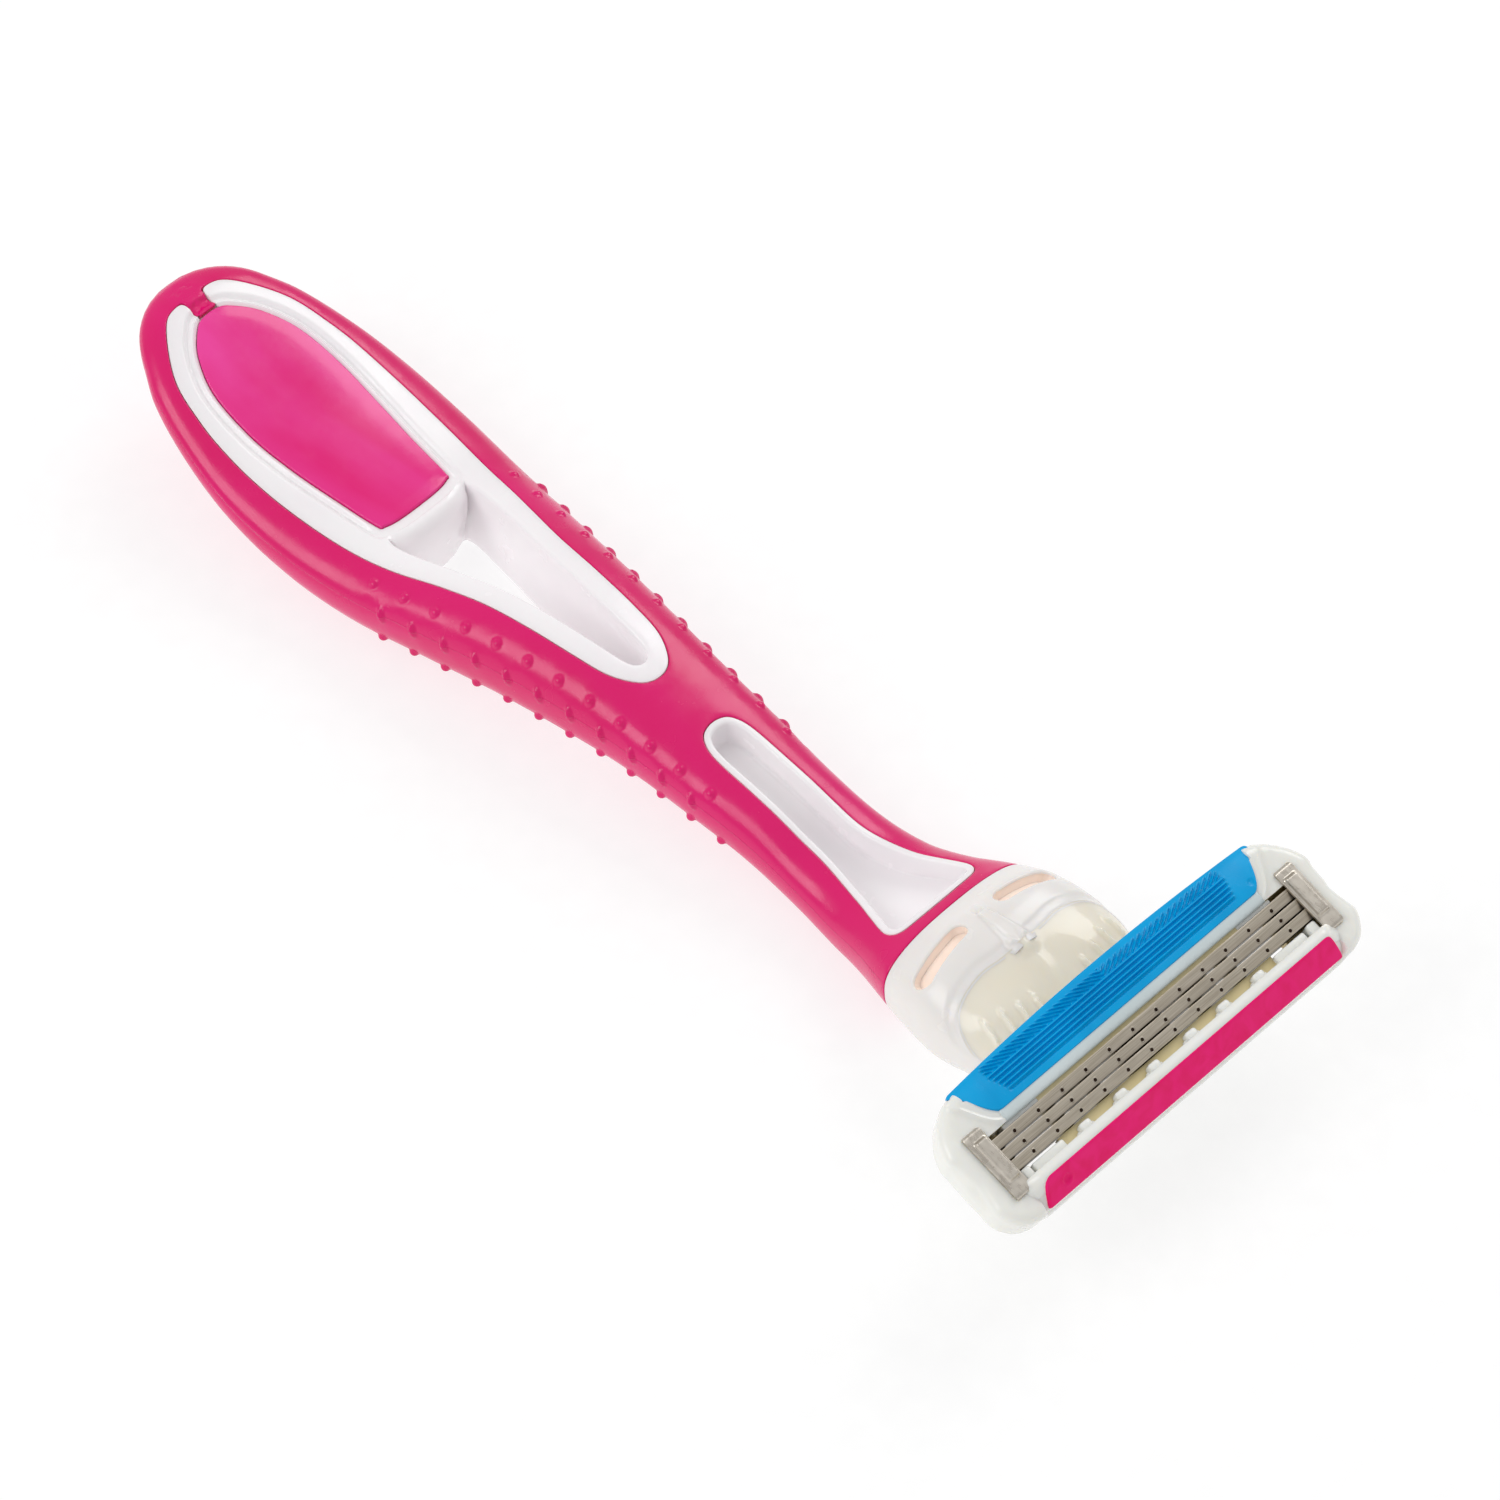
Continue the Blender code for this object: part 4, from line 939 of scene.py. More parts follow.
def skin():
    """The soft skin, open at the ring, the window, the recess and the neck shell."""
    lip = 0.1
    edge = SEAM_GAP + lip
    half = BRIDGE_HALF - edge
    end_y = BRIDGE_END_Y - lip
    ring = half_line(RING, edge, start_x=half)
    bridge = np.concatenate([resample([(half, end_y), (half, ring[0, 1])], 0.25)[:-1], ring])
    recess = half_line(RECESS, RECESS_RIM + edge)
    window = half_line(WINDOW, WINDOW_RIM + edge)
    seam_y, seam_a = seam_line(-edge)
    parts = [
        tail_part(end_y),
        top_part(resample([(0.0, end_y), (half, end_y)], 0.25), lip, 0.5),
        top_part(soften(bridge, ring[0], 1.0), lip, 0.9),
        centre_part(ring[-1, 1], recess[0, 1]),
        top_part(recess, lip, 0.9),
        centre_part(recess[-1, 1], seam_y[0]),
        (seam_y, seam_a, lip, 0.7),
        centre_part(seam_y[-1], window[-1, 1], False),
        reversed_part(top_part(window, lip, 0.7, False)),
        reversed_part(tail_part(window[0, 1], False)),
    ]

    def parting(y, angle):
        return CHART.flat(y, angle)[:, 1] - CHART.flat(y, PARTING_ANGLE)[:, 1]

    net = Net()
    surface_patch(net, parts, 0.55, skin_points(), skin_relief, value=parting)
    net.mirror()
    piece = net.piece("grip_skin", SKIN_PINK, "handle", "soft_grip", value_name="parting")
    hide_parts("grip_overmould")


def ring_relief(place, y, _):
    """A step down to the pad, with a low lip beside it."""
    away = distance_to(place[:, :2], both_halves(half_line(PALM_PAD, 0.0, 0.25)))
    beside = 1 - smooth_step(-33.0, -30.8, y)
    lip = 0.24 * np.exp(-((away - 0.42) / 0.2) ** 2)
    groove = -0.1 * np.exp(-((away - 0.86) / 0.16) ** 2)
    return -0.26 * (1 - smooth_step(0.95, 1.35, away)) + (lip + groove) * beside


def core():
    """The hard core: the ring on top, the window's walls with the ring under them, and the recess."""
    net = Net()
    lip = 0.08
    edge = SEAM_GAP + lip
    half = BRIDGE_HALF + edge
    top_edge = 0.32
    ring = half_line(RING, -edge, start_x=half)
    pad = half_line(PALM_PAD, 0.06 + lip, 0.25, start_x=half)
    window = half_line(WINDOW, top_edge, 0.25)
    side = resample([(half, ring[0, 1]), (half, pad[0, 1])], 0.25)
    start = soften(np.concatenate([ring[::-1][:-1], side]), ring[0], 0.9)
    parts = [
        top_part(pad, lip, 0.4),
        centre_part(pad[-1, 1], window[0, 1], spacing=0.25),
        top_part(window, 0.0, 0.0),
        centre_part(window[-1, 1], ring[-1, 1]),
        top_part(start, lip, 0.6),
    ]
    beside_pad = [half_line(PALM_PAD, offset) for offset in np.arange(0.28, 1.6, 0.12)]
    fine = np.concatenate([CHART.flat(line[:, 1], angle_of(*line.T)) for line in beside_pad])
    surface_patch(net, parts, 0.5, fine, ring_relief)
    window_rows(net, window, top_edge, edge, lip)
    recess_rows(net)
    net.mirror()
    piece = net.piece("core_face", CORE_WHITE, "handle", "white_core", centre=(0, -20, 3))
    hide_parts("handle_core")
    core_below()


def window_rows(net, line, top_edge, edge, lip):
    """The window's rounded edges and walls; its straight bar towards the pad is rounder and leans in."""
    normal = line_normals(line)
    x, y = line.T
    at_bar = smooth_step(-0.75, -0.95, normal[:, 1]) * (y < -26)
    top = height_at(x, y) + ring_relief(np.column_stack([x, y]), y, None)
    foot_roll = 0.3
    foot = height_at(x, y, False) + foot_roll
    roll = top_edge + at_bar * 0.75
    drop = roll + 0.4 * at_bar
    lean = 0.75 * at_bar

    def row(offset, height):
        return moved_row(line, normal, offset, height)

    rows = [row(0.0, top)]
    for t in np.radians((15, 30, 45, 60, 75, 90)):
        rows.append(row(-roll * math.sin(t), top - drop * (1 - math.cos(t))))
    for share in np.linspace(0, 1, 15)[1:]:
        inset = roll - lean * smooth_step(0.1, 1.0, share)
        rows.append(row(-inset, top - drop + share * (foot - top + drop)))
    low = lean - roll
    for t in np.radians((30, 60, 90)):
        rows.append(row(low + foot_roll * (1 - math.cos(t)), foot - foot_roll * math.sin(t)))
    rim = WINDOW_RIM - edge
    for offset in (0.6, 0.9, rim):
        rows.append(row(low + offset, lambda x, y: height_at(x, y, False)))
    for t in np.radians((45, 90)):
        rise = lip * (1 - math.cos(t))
        rows.append(row(low + rim + lip * math.sin(t), lambda x, y, rise=rise: height_at(x, y, False) + rise))
    rows.append(rows[-1] + (0, 0, 0.8))
    net.rows(rows)


def recess_rows(net):
    """The rim, wall and floor of the recess in the neck."""
    line = half_line(RECESS, RECESS_RIM - SEAM_GAP, 0.25)
    normal = line_normals(line)
    lip, roll, lean, fillet = 0.12, 0.26, 0.12, 0.22
    flat_end = RECESS_RIM - SEAM_GAP - roll
    wall = flat_end + roll

    def row(inset, height):
        return moved_row(line, normal, -inset, height)

    def above_floor(rise):
        return lambda x, y: height_at(x * 0.0, y) - RECESS_DEPTH + rise

    def on_wall(share):
        top, foot = under_top(roll), above_floor(fillet)
        return lambda x, y: top(x, y) * (1 - share) + foot(x, y) * share

    rows = [row(0.0, under_top(0.8)), row(0.0, under_top(lip))]
    rows += [row(lip * (1 - math.cos(t)), under_top(lip * (1 - math.sin(t))))
             for t in np.radians((30, 60, 90))]
    rows += [row((lip + flat_end) / 2, under_top(0.0)), row(flat_end, under_top(0.0))]
    rows += [row(flat_end + roll * math.sin(t), under_top(roll * (1 - math.cos(t))))
             for t in np.radians((22, 45, 68, 90))]
    rows += [row(wall + lean * share, on_wall(share)) for share in (0.25, 0.5, 0.75, 1.0)]
    rows += [row(wall + lean + fillet * (1 - math.cos(t)), above_floor(fillet * (1 - math.sin(t))))
             for t in np.radians((30, 60, 90))]
    net.rows(rows)
    x, y, _ = rows[-1].T
    y_in = np.clip(y, y[0], y[-1])
    floor_z = above_floor(0.0)(x, y_in)
    net.rows([np.column_stack([x * share, y_in, floor_z]) for share in np.linspace(1, 0, 7)])


def core_below():
    """What the hairlines between mouldings look down on: the core just under the skin."""
    tip = TAIL_Y + TAIL_ROUND * (1 - np.cos(np.linspace(0.15, TOP, 12)))
    y = np.concatenate([tip, np.arange(TAIL_Y + TAIL_ROUND + 1, SEAM_Y + 2.2, 1.2)])
    angle = np.linspace(-TOP, TOP, 40)
    rows = []
    for at in y:
        here = np.full_like(angle, at)
        rows.append(on_body(here, angle) - body_normal(here, angle) * HAIRLINE_DEPTH)
    points = np.concatenate(rows)
    over_window = inside(points, both_halves(half_line(WINDOW, 0.7, 0.4)))
    over_recess = inside(points, both_halves(half_line(RECESS, 0.4, 0.4)))
    count = len(angle)
    faces = []
    for r in range(len(y) - 1):
        for k in range(count - 1):
            a = r * count + k
            corners = [a, a + 1, a + count + 1, a + count]
            if not (over_window[corners].any() or (angle[k] > 0 and over_recess[corners].any())):
                faces.append(corners)
    net = Net()
    net.add(points, faces)
    net.mirror()
    net.piece("core_below", CORE_WHITE, "handle", "white_core", centre=(0, 0, 5))


def palm_pad():
    """The crowned inlay inside the ring."""
    lip = 0.14
    line = half_line(PALM_PAD, -lip, 0.25)
    parts = [top_part(line, lip, 0.5), reversed_part(centre_part(line[0, 1], line[-1, 1]))]

    def crown(place, y, angle):
        return 0.1 * smooth_step(0.0, 1.2, distance_to(place[:, :2], both_halves(line)))

    net = Net()
    surface_patch(net, parts, 0.45, None, crown)
    net.mirror()
    piece = net.piece("palm_pad_skin", PAD_PINK, "handle", "palm_pad", centre=(0, -45, 2))
    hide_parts("palm_pad")


# ---- Neck shell -------------------------------------------------------------------

def collar_lip(shift=0.0, low=0.0):
    """The front lip, moved forward by shift and down the flank by low degrees."""
    line = curve_through([(y, degrees / 10) for y, degrees in COLLAR_LIP], 0.16)
    y, angle = line[:, 0], np.radians(np.clip(line[:, 1] * 10, -90, 90))
    angle[0] = TOP
    down = smooth_step(43.2, 46.5, y)
    y = y + shift * (1 - 0.3 * down)
    y[-1] = NECK_FLAT_Y
    return y, np.where(angle < TOP - 1e-6, angle - math.radians(low) * down, TOP)


def slot_loop():
    """A slot's outline in the collar's top: (y, angle)."""
    half = SLOT_WIDTH / 2 + 0.1
    xs = np.linspace(SLOT_X[0] + half, SLOT_X[1] - half, 22)
    centre = SLOT_Y + SLOT_BOW * xs ** 2
    line = np.array([*zip(xs, centre - half), *arc(xs[-1], centre[-1], half, -75, 75, 7),
                     *zip(xs[::-1], centre[::-1] + half), *arc(xs[0], centre[0], half, 105, 255, 7)])
    return line[:, 1], angle_of(*line.T)


def collar_relief(place, y, angle):
    """The spine widening from its dimple to the star at the lip, and the soft shoulder before the lip."""
    x = place[:, 0]
    along = np.clip((y - 38.0) / (43.2 - 38.0), 0, 1)
    across = np.abs(x) / (0.34 + 0.75 * along)
    spine = 0.24 * smooth_step(1.4, 0.7, across) + 0.1 * np.exp(-((across - 1.0) / 0.22) ** 2)
    around = np.hypot(x, (y - DIMPLE_Y) / 1.2)
    dimple = -0.3 * np.exp(-(around / 0.3) ** 2) + 0.08 * np.exp(-((around - 0.62) / 0.16) ** 2)
    points = np.abs(np.cos(2.5 * np.arctan2(x, y - STAR_Y) + 0.4)) ** 1.5
    star = 0.3 * points * np.exp(-((np.hypot(x, y - STAR_Y) - 0.85) / 0.6) ** 2)
    away = distance_to(CHART.flat(y, angle), CHART.flat(*COLLAR_EDGE))
    bead = 0.16 * np.exp(-((away - 0.36) / 0.2) ** 2)
    shoulder = -0.16 * smooth_step(1.85, 1.3, away) * smooth_step(0.3, 1.2, np.abs(x))
    middle = spine * smooth_step(37.9, 38.4, y) + dimple + star
    return middle * smooth_step(0.4, 0.6, angle) + (bead + shoulder) * smooth_step(0.06, 0.3, angle)


COLLAR_EDGE = collar_lip()


def neck_collar():
    """The white band behind the dome, with its two slots."""
    lip = 0.16
    seam_y, seam_a = seam_line(SEAM_GAP + lip)
    lip_y, lip_a = COLLAR_EDGE
    end_angle = np.linspace(lip_a[-1], -TOP, 34)
    end_y = np.full_like(end_angle, NECK_FLAT_Y)
    parts = [
        centre_part(seam_y[0], lip_y[0], spacing=0.25),
        (lip_y, lip_a, 0.06, 0.3),
        (end_y, end_angle, 0.0, 0.0),
        centre_part(NECK_FLAT_Y, seam_y[-1], False),
        (seam_y[::-1], seam_a[::-1], lip, 0.6),
    ]
    line = CHART.flat(lip_y, lip_a)
    back = line_normals(line)
    back *= -np.sign(back[0, 0])
    beside = np.concatenate([(line + back * offset)[3:-6:2]
                             for offset in (0.18, 0.34, 0.5, 0.68, 0.9, 1.15, 1.4, 1.6, 1.8, 2.05)])
    spine = fine_grid(np.arange(0.1, 2.0, 0.15), np.arange(37.0, 42.9, 0.15))
    fine = np.concatenate([spine, beside[beside[:, 1] < line[0, 1] - 0.05]])
    net = Net()
    surface_patch(net, parts, 0.45, fine, collar_relief, hole=(*slot_loop(), 0.2, 0.1))
    front_roll(net, on_body(end_y, end_angle), body_normal(end_y, end_angle))
    net.mirror()
    piece = net.piece("neck_collar", COLLAR_WHITE, "handle", "neck_shell", centre=(0, 43, 6))
    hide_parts("neck_shell")
    slot_floors()


def front_roll(net, place, normal):
    """Rounds the shell's end over into its front wall."""
    rows = []
    for t in np.radians(np.linspace(0, 90, 7)):
        inward = -normal * (1, 0, 1) * FRONT_ROUND * (1 - math.cos(t))
        rows.append(place + inward + (0, FRONT_ROUND * math.sin(t), 0))
        rows[-1][-1, 0] = 0.0
    net.rows(rows)


def slot_floors():
    """What shows through the slots: the shell's inner layer, warm, with a painted glow for light coming
    through from inside.
    """
    xs = np.linspace(SLOT_X[0] - 0.6, SLOT_X[1] + 0.6, 24)
    rows = []
    for offset in np.linspace(-1.2, 1.2, 7):
        y = SLOT_Y + SLOT_BOW * xs ** 2 + offset
        angle = angle_of(xs, y)
        rows.append(on_body(y, angle) - body_normal(y, angle) * 1.05)
    rim, normal = on_body(*slot_loop()), body_normal(*slot_loop())
    shrunk = rim + unit(rim.mean(0) - rim) * 0.14
    net = Net()
    net.rows(rows)
    net.rows([shrunk - normal * deep for deep in (0.12, 0.5, 0.9, 1.2)], closed=True)
    net.mirror()
    net.piece("slot_floors", PEACH_PAINTED_GLOW, "handle", "neck_shell", centre=(0, 38, 0))


def dome_relief(place, y, angle):
    """Two lobes with a ridge between them, and short ribs on each."""
    x = np.abs(place[:, 0])
    inward = smooth_step(43.3, 44.6, y)
    lift = 0.3 * np.exp(-(x / 1.1) ** 2) * (1 - inward) - DOME_SINK
    lift += 0.34 * np.exp(-(x / 0.6) ** 2) * (1 - 0.5 * inward)
    lift += 0.3 * smooth_step(1.4, 4.6, x) * smooth_step(9.6, 6.4, x) * smooth_step(43.3, 46.6, y)
    for rib_x, start, end in DOME_RIBS:
        across = np.exp(-((x - rib_x - 0.12 * (y - end)) / 0.2) ** 2)
        along = smooth_step(start - 0.5, start + 0.5, y) * (1 - smooth_step(end - 0.1, end + 0.5, y))
        lift += 0.42 * across * along * (angle > 0.2)
    return lift


def neck_dome():
    """The cream dome that runs under the cartridge."""
    back_y, back_a = collar_lip(-0.55, 5.0)
    angle = np.linspace(back_a[-1], TOP, 40)
    front = np.full_like(angle, NECK_FLAT_Y)
    parts = [
        (back_y, back_a, 0.0, 0.0),
        (front, angle, 0.0, 0.0),
        centre_part(NECK_FLAT_Y, back_y[0], spacing=0.25),
    ]
    fine = [fine_grid(np.arange(rib_x - 0.7, rib_x + 0.51, 0.1), np.arange(start - 0.4, end + 0.4, 0.12))
            for rib_x, start, end in DOME_RIBS]
    fine.append(fine_grid(np.arange(0.15, 2.4, 0.2), np.arange(43.4, 50.6, 0.25)))
    net = Net()
    surface_patch(net, parts, 0.42, np.concatenate(fine), dome_relief)
    place, normal = on_body(front, angle), body_normal(front, angle)
    front_roll(net, place + normal * dome_relief(place, front, angle)[:, None], normal)
    net.mirror()
    net.piece("neck_dome", DOME_CREAM, "handle", "neck_shell", centre=(0, 46, 4))


def front_wall():
    """The shell's front, with the plunger's way through it."""
    angle = np.linspace(-TOP, TOP, 60)
    y = np.full_like(angle, NECK_FLAT_Y)
    ring = on_body(y, angle) - body_normal(y, angle) * 0.55
    ring[[0, -1], 0] = 0.0
    wall_y = NECK_FLAT_Y + FRONT_ROUND
    low, high = PLUNGER_Z - 1.35, PLUNGER_Z + 1.35
    way = resample([(0.0, high), (1.75, high), (1.75, low), (0.0, low)], 0.25)
    loop = np.concatenate([ring[:-1, [0, 2]], resample([(0.0, ring[-1, 2]), (0.0, high)], 0.4)[:-1],
                           way[:-1], resample([(0.0, low), (0.0, ring[0, 2])], 0.4)[:-1]])
    flat, faces, _ = triangulate([loop], 0.5)
    net = Net()
    net.add(np.insert(flat, 1, wall_y, axis=1), faces)
    net.rows([np.insert(way, 1, wall_y - deep, axis=1) for deep in (0.0, 1.0, 3.0)])
    net.mirror()
    net.piece("neck_front", COLLAR_WHITE, "handle", "neck_shell", centre=(0, 40, 6))


def arms():
    """The two arms that hold the pivot pins."""
    outline = arc(*PIVOT, PIVOT_BOSS, -100, 80, 25) + [(50.0, 8.4), (46.0, 7.6), (46.0, 4.5), (51.0, 5.4)]
    for side in (1, -1):
        made = side_plate(f"neck_arm_{side}", outline, (side * 4.4, side * 6.9), 0.25, Matrix.Identity(4))
        finish_piece(made, COLLAR_WHITE, "handle")


# ---- Cartridge --------------------------------------------------------------------

def guard_inner_y(x):
    """The guard's edge towards the blades: straight, then an S-curve out to its tips."""
    slant = np.clip((np.abs(x) - GUARD_INNER[1]) / (GUARD_HALF - GUARD_INNER[1]), 0, 1) ** 1.25
    return GUARD_INNER[0] - 3.5 * slant * slant * (3 - 2 * slant)


def guard_outer_y(x):
    """The guard's edge towards the handle: bowed, with round corners."""
    corner = np.clip((np.abs(x) - 18.2) / (GUARD_HALF - 18.2), 0, 1)
    bow = (GUARD_OUTER[1] - GUARD_OUTER[0]) * (x / GUARD_HALF) ** 2
    return GUARD_OUTER[0] + bow + 0.26 * (1 - np.sqrt(1 - corner ** 2))


GUARD_EDGE = resample([(x, guard_inner_y(x)) for x in np.linspace(-GUARD_HALF, GUARD_HALF, 800)], 0.25)


def housing_top(x, y):
    """Height of the frame's top: a raised lip along the guard's ends, and shallow end caps."""
    away = distance_to(np.column_stack([x, y]), GUARD_EDGE)
    beside = np.where((y < guard_inner_y(x)) & (np.abs(x) < GUARD_HALF - 0.15), -away, away)
    lip = 0.3 * np.exp(-((beside - 0.85) / 0.28) ** 2) + 0.32 * smooth_step(0.75, 0.3, beside)
    z = HOUSING_Z[1] + lip * smooth_step(15.2, 16.4, np.abs(x)) * (y < -2.2)
    z -= 1.7 * smooth_step(0.02, -0.4, beside)
    z -= 1.3 * smooth_step(3.7, 4.5, y) * smooth_step(18.9, 18.2, np.abs(x))
    for centre_y in (-4.1, 3.9):
        z -= 0.08 * smooth_step(1.0, 0.45, np.hypot((np.abs(x) - 20.2) / 1.15, (y - centre_y) / 1.5))
    return z


def rectangle(half, y0, y1, spacing, middle=0.0):
    """Even points round a rectangle."""
    x0, x1 = middle - half, middle + half
    corners = [(x0, y0), (x1, y0), (x1, y1), (x0, y1), (x0, y0)]
    return np.concatenate([resample(corners[k:k + 2], spacing)[:-1] for k in range(4)])


def housing():
    """The frame with rounded edges, its ends' waists, and the tan inside with its rinse windows."""
    outline = resample(closed_curve(HOUSING, 12), 0.3)[:-1]
    normal = loop_normals(outline)
    x, y = outline.T
    at_cap = np.abs(x) > 20
    roll_in, roll_down, foot_round = 1.0, 0.95, 0.7
    inner = outline - normal * roll_in
    pocket = rectangle(POCKET_HALF, *POCKET_Y, 0.4)
    bays = [rectangle((b - a) / 2, *BAY_Y, 0.5, side * (a + b) / 2) for a, b in BAYS for side in (1, -1)]
    beside = [GUARD_EDGE - line_normals(GUARD_EDGE) * off
              for off in (-0.4, -0.2, 0.0, 0.18, 0.36, 0.54, 0.7, 0.86, 1.02, 1.2)]
    flat, faces, _ = triangulate([inner, pocket], 0.38, np.concatenate(beside))
    net = Net()
    net.add(np.column_stack([flat, housing_top(*flat.T)]), faces)

    base = housing_top(*inner.T)
    dent = np.exp(-((y - 1.4) / 1.5) ** 6) * at_cap
    rows = []
    for t in np.radians(np.linspace(0, 90, 9)):
        moved = inner + normal * (roll_in * math.sin(t) - 0.16 * dent * math.sin(t) ** 2)[:, None]
        rows.append(np.column_stack([moved, base - roll_down * (1 - math.cos(t)) - 0.2 * dent * math.sin(t)]))
    shoulder = rows[-1][:, 2]
    foot = HOUSING_Z[0] + foot_round
    fuller = outline.copy()    # below the shoulder the waists fill out
    lack = np.maximum(22.42 - 0.012 * (y - 0.6) ** 2 - np.abs(x), 0)
    fuller[:, 0] += np.sign(x) * lack * at_cap * smooth_step(-3.4, -2.2, y) * smooth_step(4.4, 3.0, y)
    for deep, share in ((0.12, 0.5), (0.3, 1.0), (0.65, 1.0), (1.0, 1.0)):
        sunk = 0.25 * deep + 0.16 * dent * (1 - share)
        moved = outline * (1 - share) + fuller * share - normal * sunk[:, None]
        rows.append(np.column_stack([moved, shoulder + deep * (foot - shoulder)]))
    for t in np.radians(np.linspace(0, 90, 6)[1:]):
        moved = fuller - normal * (0.25 + foot_round * (1 - math.cos(t)))
        rows.append(np.column_stack([moved, np.full(len(moved), foot - foot_round * math.sin(t))]))
    net.rows(rows, closed=True)
    flat, faces, _ = triangulate([rows[-1][:, :2], *bays], 0.9)
    net.add(np.insert(flat, 2, HOUSING_Z[0], axis=1), faces)
    piece = net.piece("housing_frame", HOUSING_WHITE, "cartridge", "housing", turn=FACE)
    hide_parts("cartridge_housing")

    net = Net()
    top = housing_top(*pocket.T)
    net.rows([np.column_stack([pocket, top * (1 - deep) + POCKET_Z * deep]) for deep in np.linspace(0, 1, 5)],
             closed=True)
    flat, faces, _ = triangulate([pocket, *bays], 0.6)
    net.add(np.insert(flat, 2, POCKET_Z, axis=1), faces)
    for bay in bays:
        net.rows([np.insert(bay, 2, z, axis=1) for z in (POCKET_Z, -3.8, HOUSING_Z[0])], closed=True)
    net.piece("housing_inside", INNER_TAN, "cartridge", "housing", turn=FACE)


def cap_bar():
    """The bar under the strip, with its inner ledge, running out into the end caps."""
    profile = curve_through([(2.68, -3.2), (2.68, 0.2), (2.74, 0.62), (3.0, 0.9), (3.4, 1.02), (3.75, 0.93),
                             (4.0, 0.6), (4.8, -0.35), (5.5, -1.2), (5.72, -1.9), (5.6, -3.2)], 0.16)
    y, z = profile.T
    rows = []
    for x in spans((-20.0, -16.8, 20), (-16.5, 16.5, 60), (16.8, 20.0, 20)):
        share = float(smooth_step(20.0, 17.4, abs(x)))
        low = np.where(z > -0.6, -0.6 + (z + 0.6) * share, z) - 0.1 * (1 - share)
        rows.append(np.column_stack([np.full(len(y), x), y - 0.25 * (1 - share) * (y > 4.5), low]))
    net = Net()
    net.rows(rows)
    net.piece("cap_bar", HOUSING_WHITE, "cartridge", "housing", turn=FACE, centre=(0, 4.2, -2.5))


def rinse_blocks():
    """The white blocks and benches beside the blades, and the tan plates that close the gaps."""
    white, tan = HOUSING_WHITE, INNER_TAN
    blocks = []
    for rib in RIB_X:
        blocks += [
            (f"rib_{{}}_{rib}", (rib - 0.62, rib + 0.62), (1.95, 2.95), (-2.6, -0.28), 0.26, white),
            (f"rib_foot_{{}}_{rib}", (rib - 0.95, rib + 0.95), (2.35, 2.9), (-2.9, -0.75), 0.16, white),
        ]
    blocks += [
        ("bench_{}", (13.2, 16.9), (1.85, 2.9), (-2.9, -0.62), 0.2, white),
        ("bench_end_{}", (17.3, 18.3), (1.7, 3.2), (-2.9, -0.3), 0.22, white),
    ]
    for k, window in enumerate(zip((0.0, *RIB_X), (*RIB_X, 13.3))):
        blocks.append((f"window_floor_{{}}_{k}", window, (1.6, 2.7), (-2.0, -1.25), 0.0, tan))
    blocks += [
        ("gap_floor_{}", (0.0, 12.6), (-2.3, -1.8), (-1.8, -0.66), 0.0, tan),
        ("gap_white_{}", (12.4, 16.6), (-2.2, -1.8), (-2.6, -0.62), 0.08, white),
    ]
    for side in (1, -1):
        for name, (near, far), *rest in blocks:
            block(name.format(side), (side * near, side * far), *rest)


def clear_bar():
    """The clear bar between guard and blades, with a row of tiny bumps along it."""
    y, z = np.array([
        (-3.4, -0.3), (-3.32, -0.05), (-3.2, 0.02), (-3.0, 0.04), (-2.8, 0.03), (-2.6, 0.0), (-2.45, -0.03),
        (-2.38, -0.06), (-2.28, -0.11), (-2.2, -0.2), (-2.16, -0.34), (-2.16, -1.2), (-2.16, -2.2)]).T
    rows = []
    for x in np.linspace(-16.4, 16.4, 330):
        share = float(smooth_step(16.4, 15.9, abs(x)))
        bump_here = 0.06 * max(math.cos(2 * math.pi * x / 1.05), 0.0) ** 8
        lift = bump_here * np.exp(-((y + 2.45) / 0.14) ** 2) * share - 0.5 * (1 - share) * (z > -1.0)
        rows.append(np.column_stack([np.full(len(y), x), y, z + lift]))
    net = Net()
    net.rows(rows)
    net.piece("clear_bar", CLEAR_BAR, "cartridge", "housing", turn=FACE, centre=(0, -2.9, -3.0))


def guard_top(x, y):
    """Height of the guard: long fins towards the blades, short slanted ones beside them, and a dot."""
    z = 0.15 - 1.05 * np.maximum((-3.2 - y) / (-3.2 - GUARD_OUTER[0]), 0.0) ** 2.2
    for k, fin in enumerate(FIN_Y):
        reach = float(smooth_step(0.12, -0.12, abs(x) - FIN_HALF + 0.16 * (4 - k)))
        z += FIN_HEIGHT * reach * np.exp(-((y - fin) / 0.1) ** 4)
        z -= 0.1 * reach * np.exp(-((y - fin - 0.225) / 0.09) ** 2)
    band = smooth_step(-7.25, -7.0, y) * smooth_step(-6.12, -6.35, y)
    band *= smooth_step(FIN_HALF + 0.12, FIN_HALF - 0.12, abs(x))
    phase = (abs(x) + 1.89 * y) / FIN_PITCH
    z += FIN_HEIGHT * band * np.maximum(np.cos(2 * np.pi * phase), 0.0) ** 0.7
    return z - 0.09 * np.exp(-(np.hypot(x + 16.2, y + 4.15) / 0.3) ** 6)


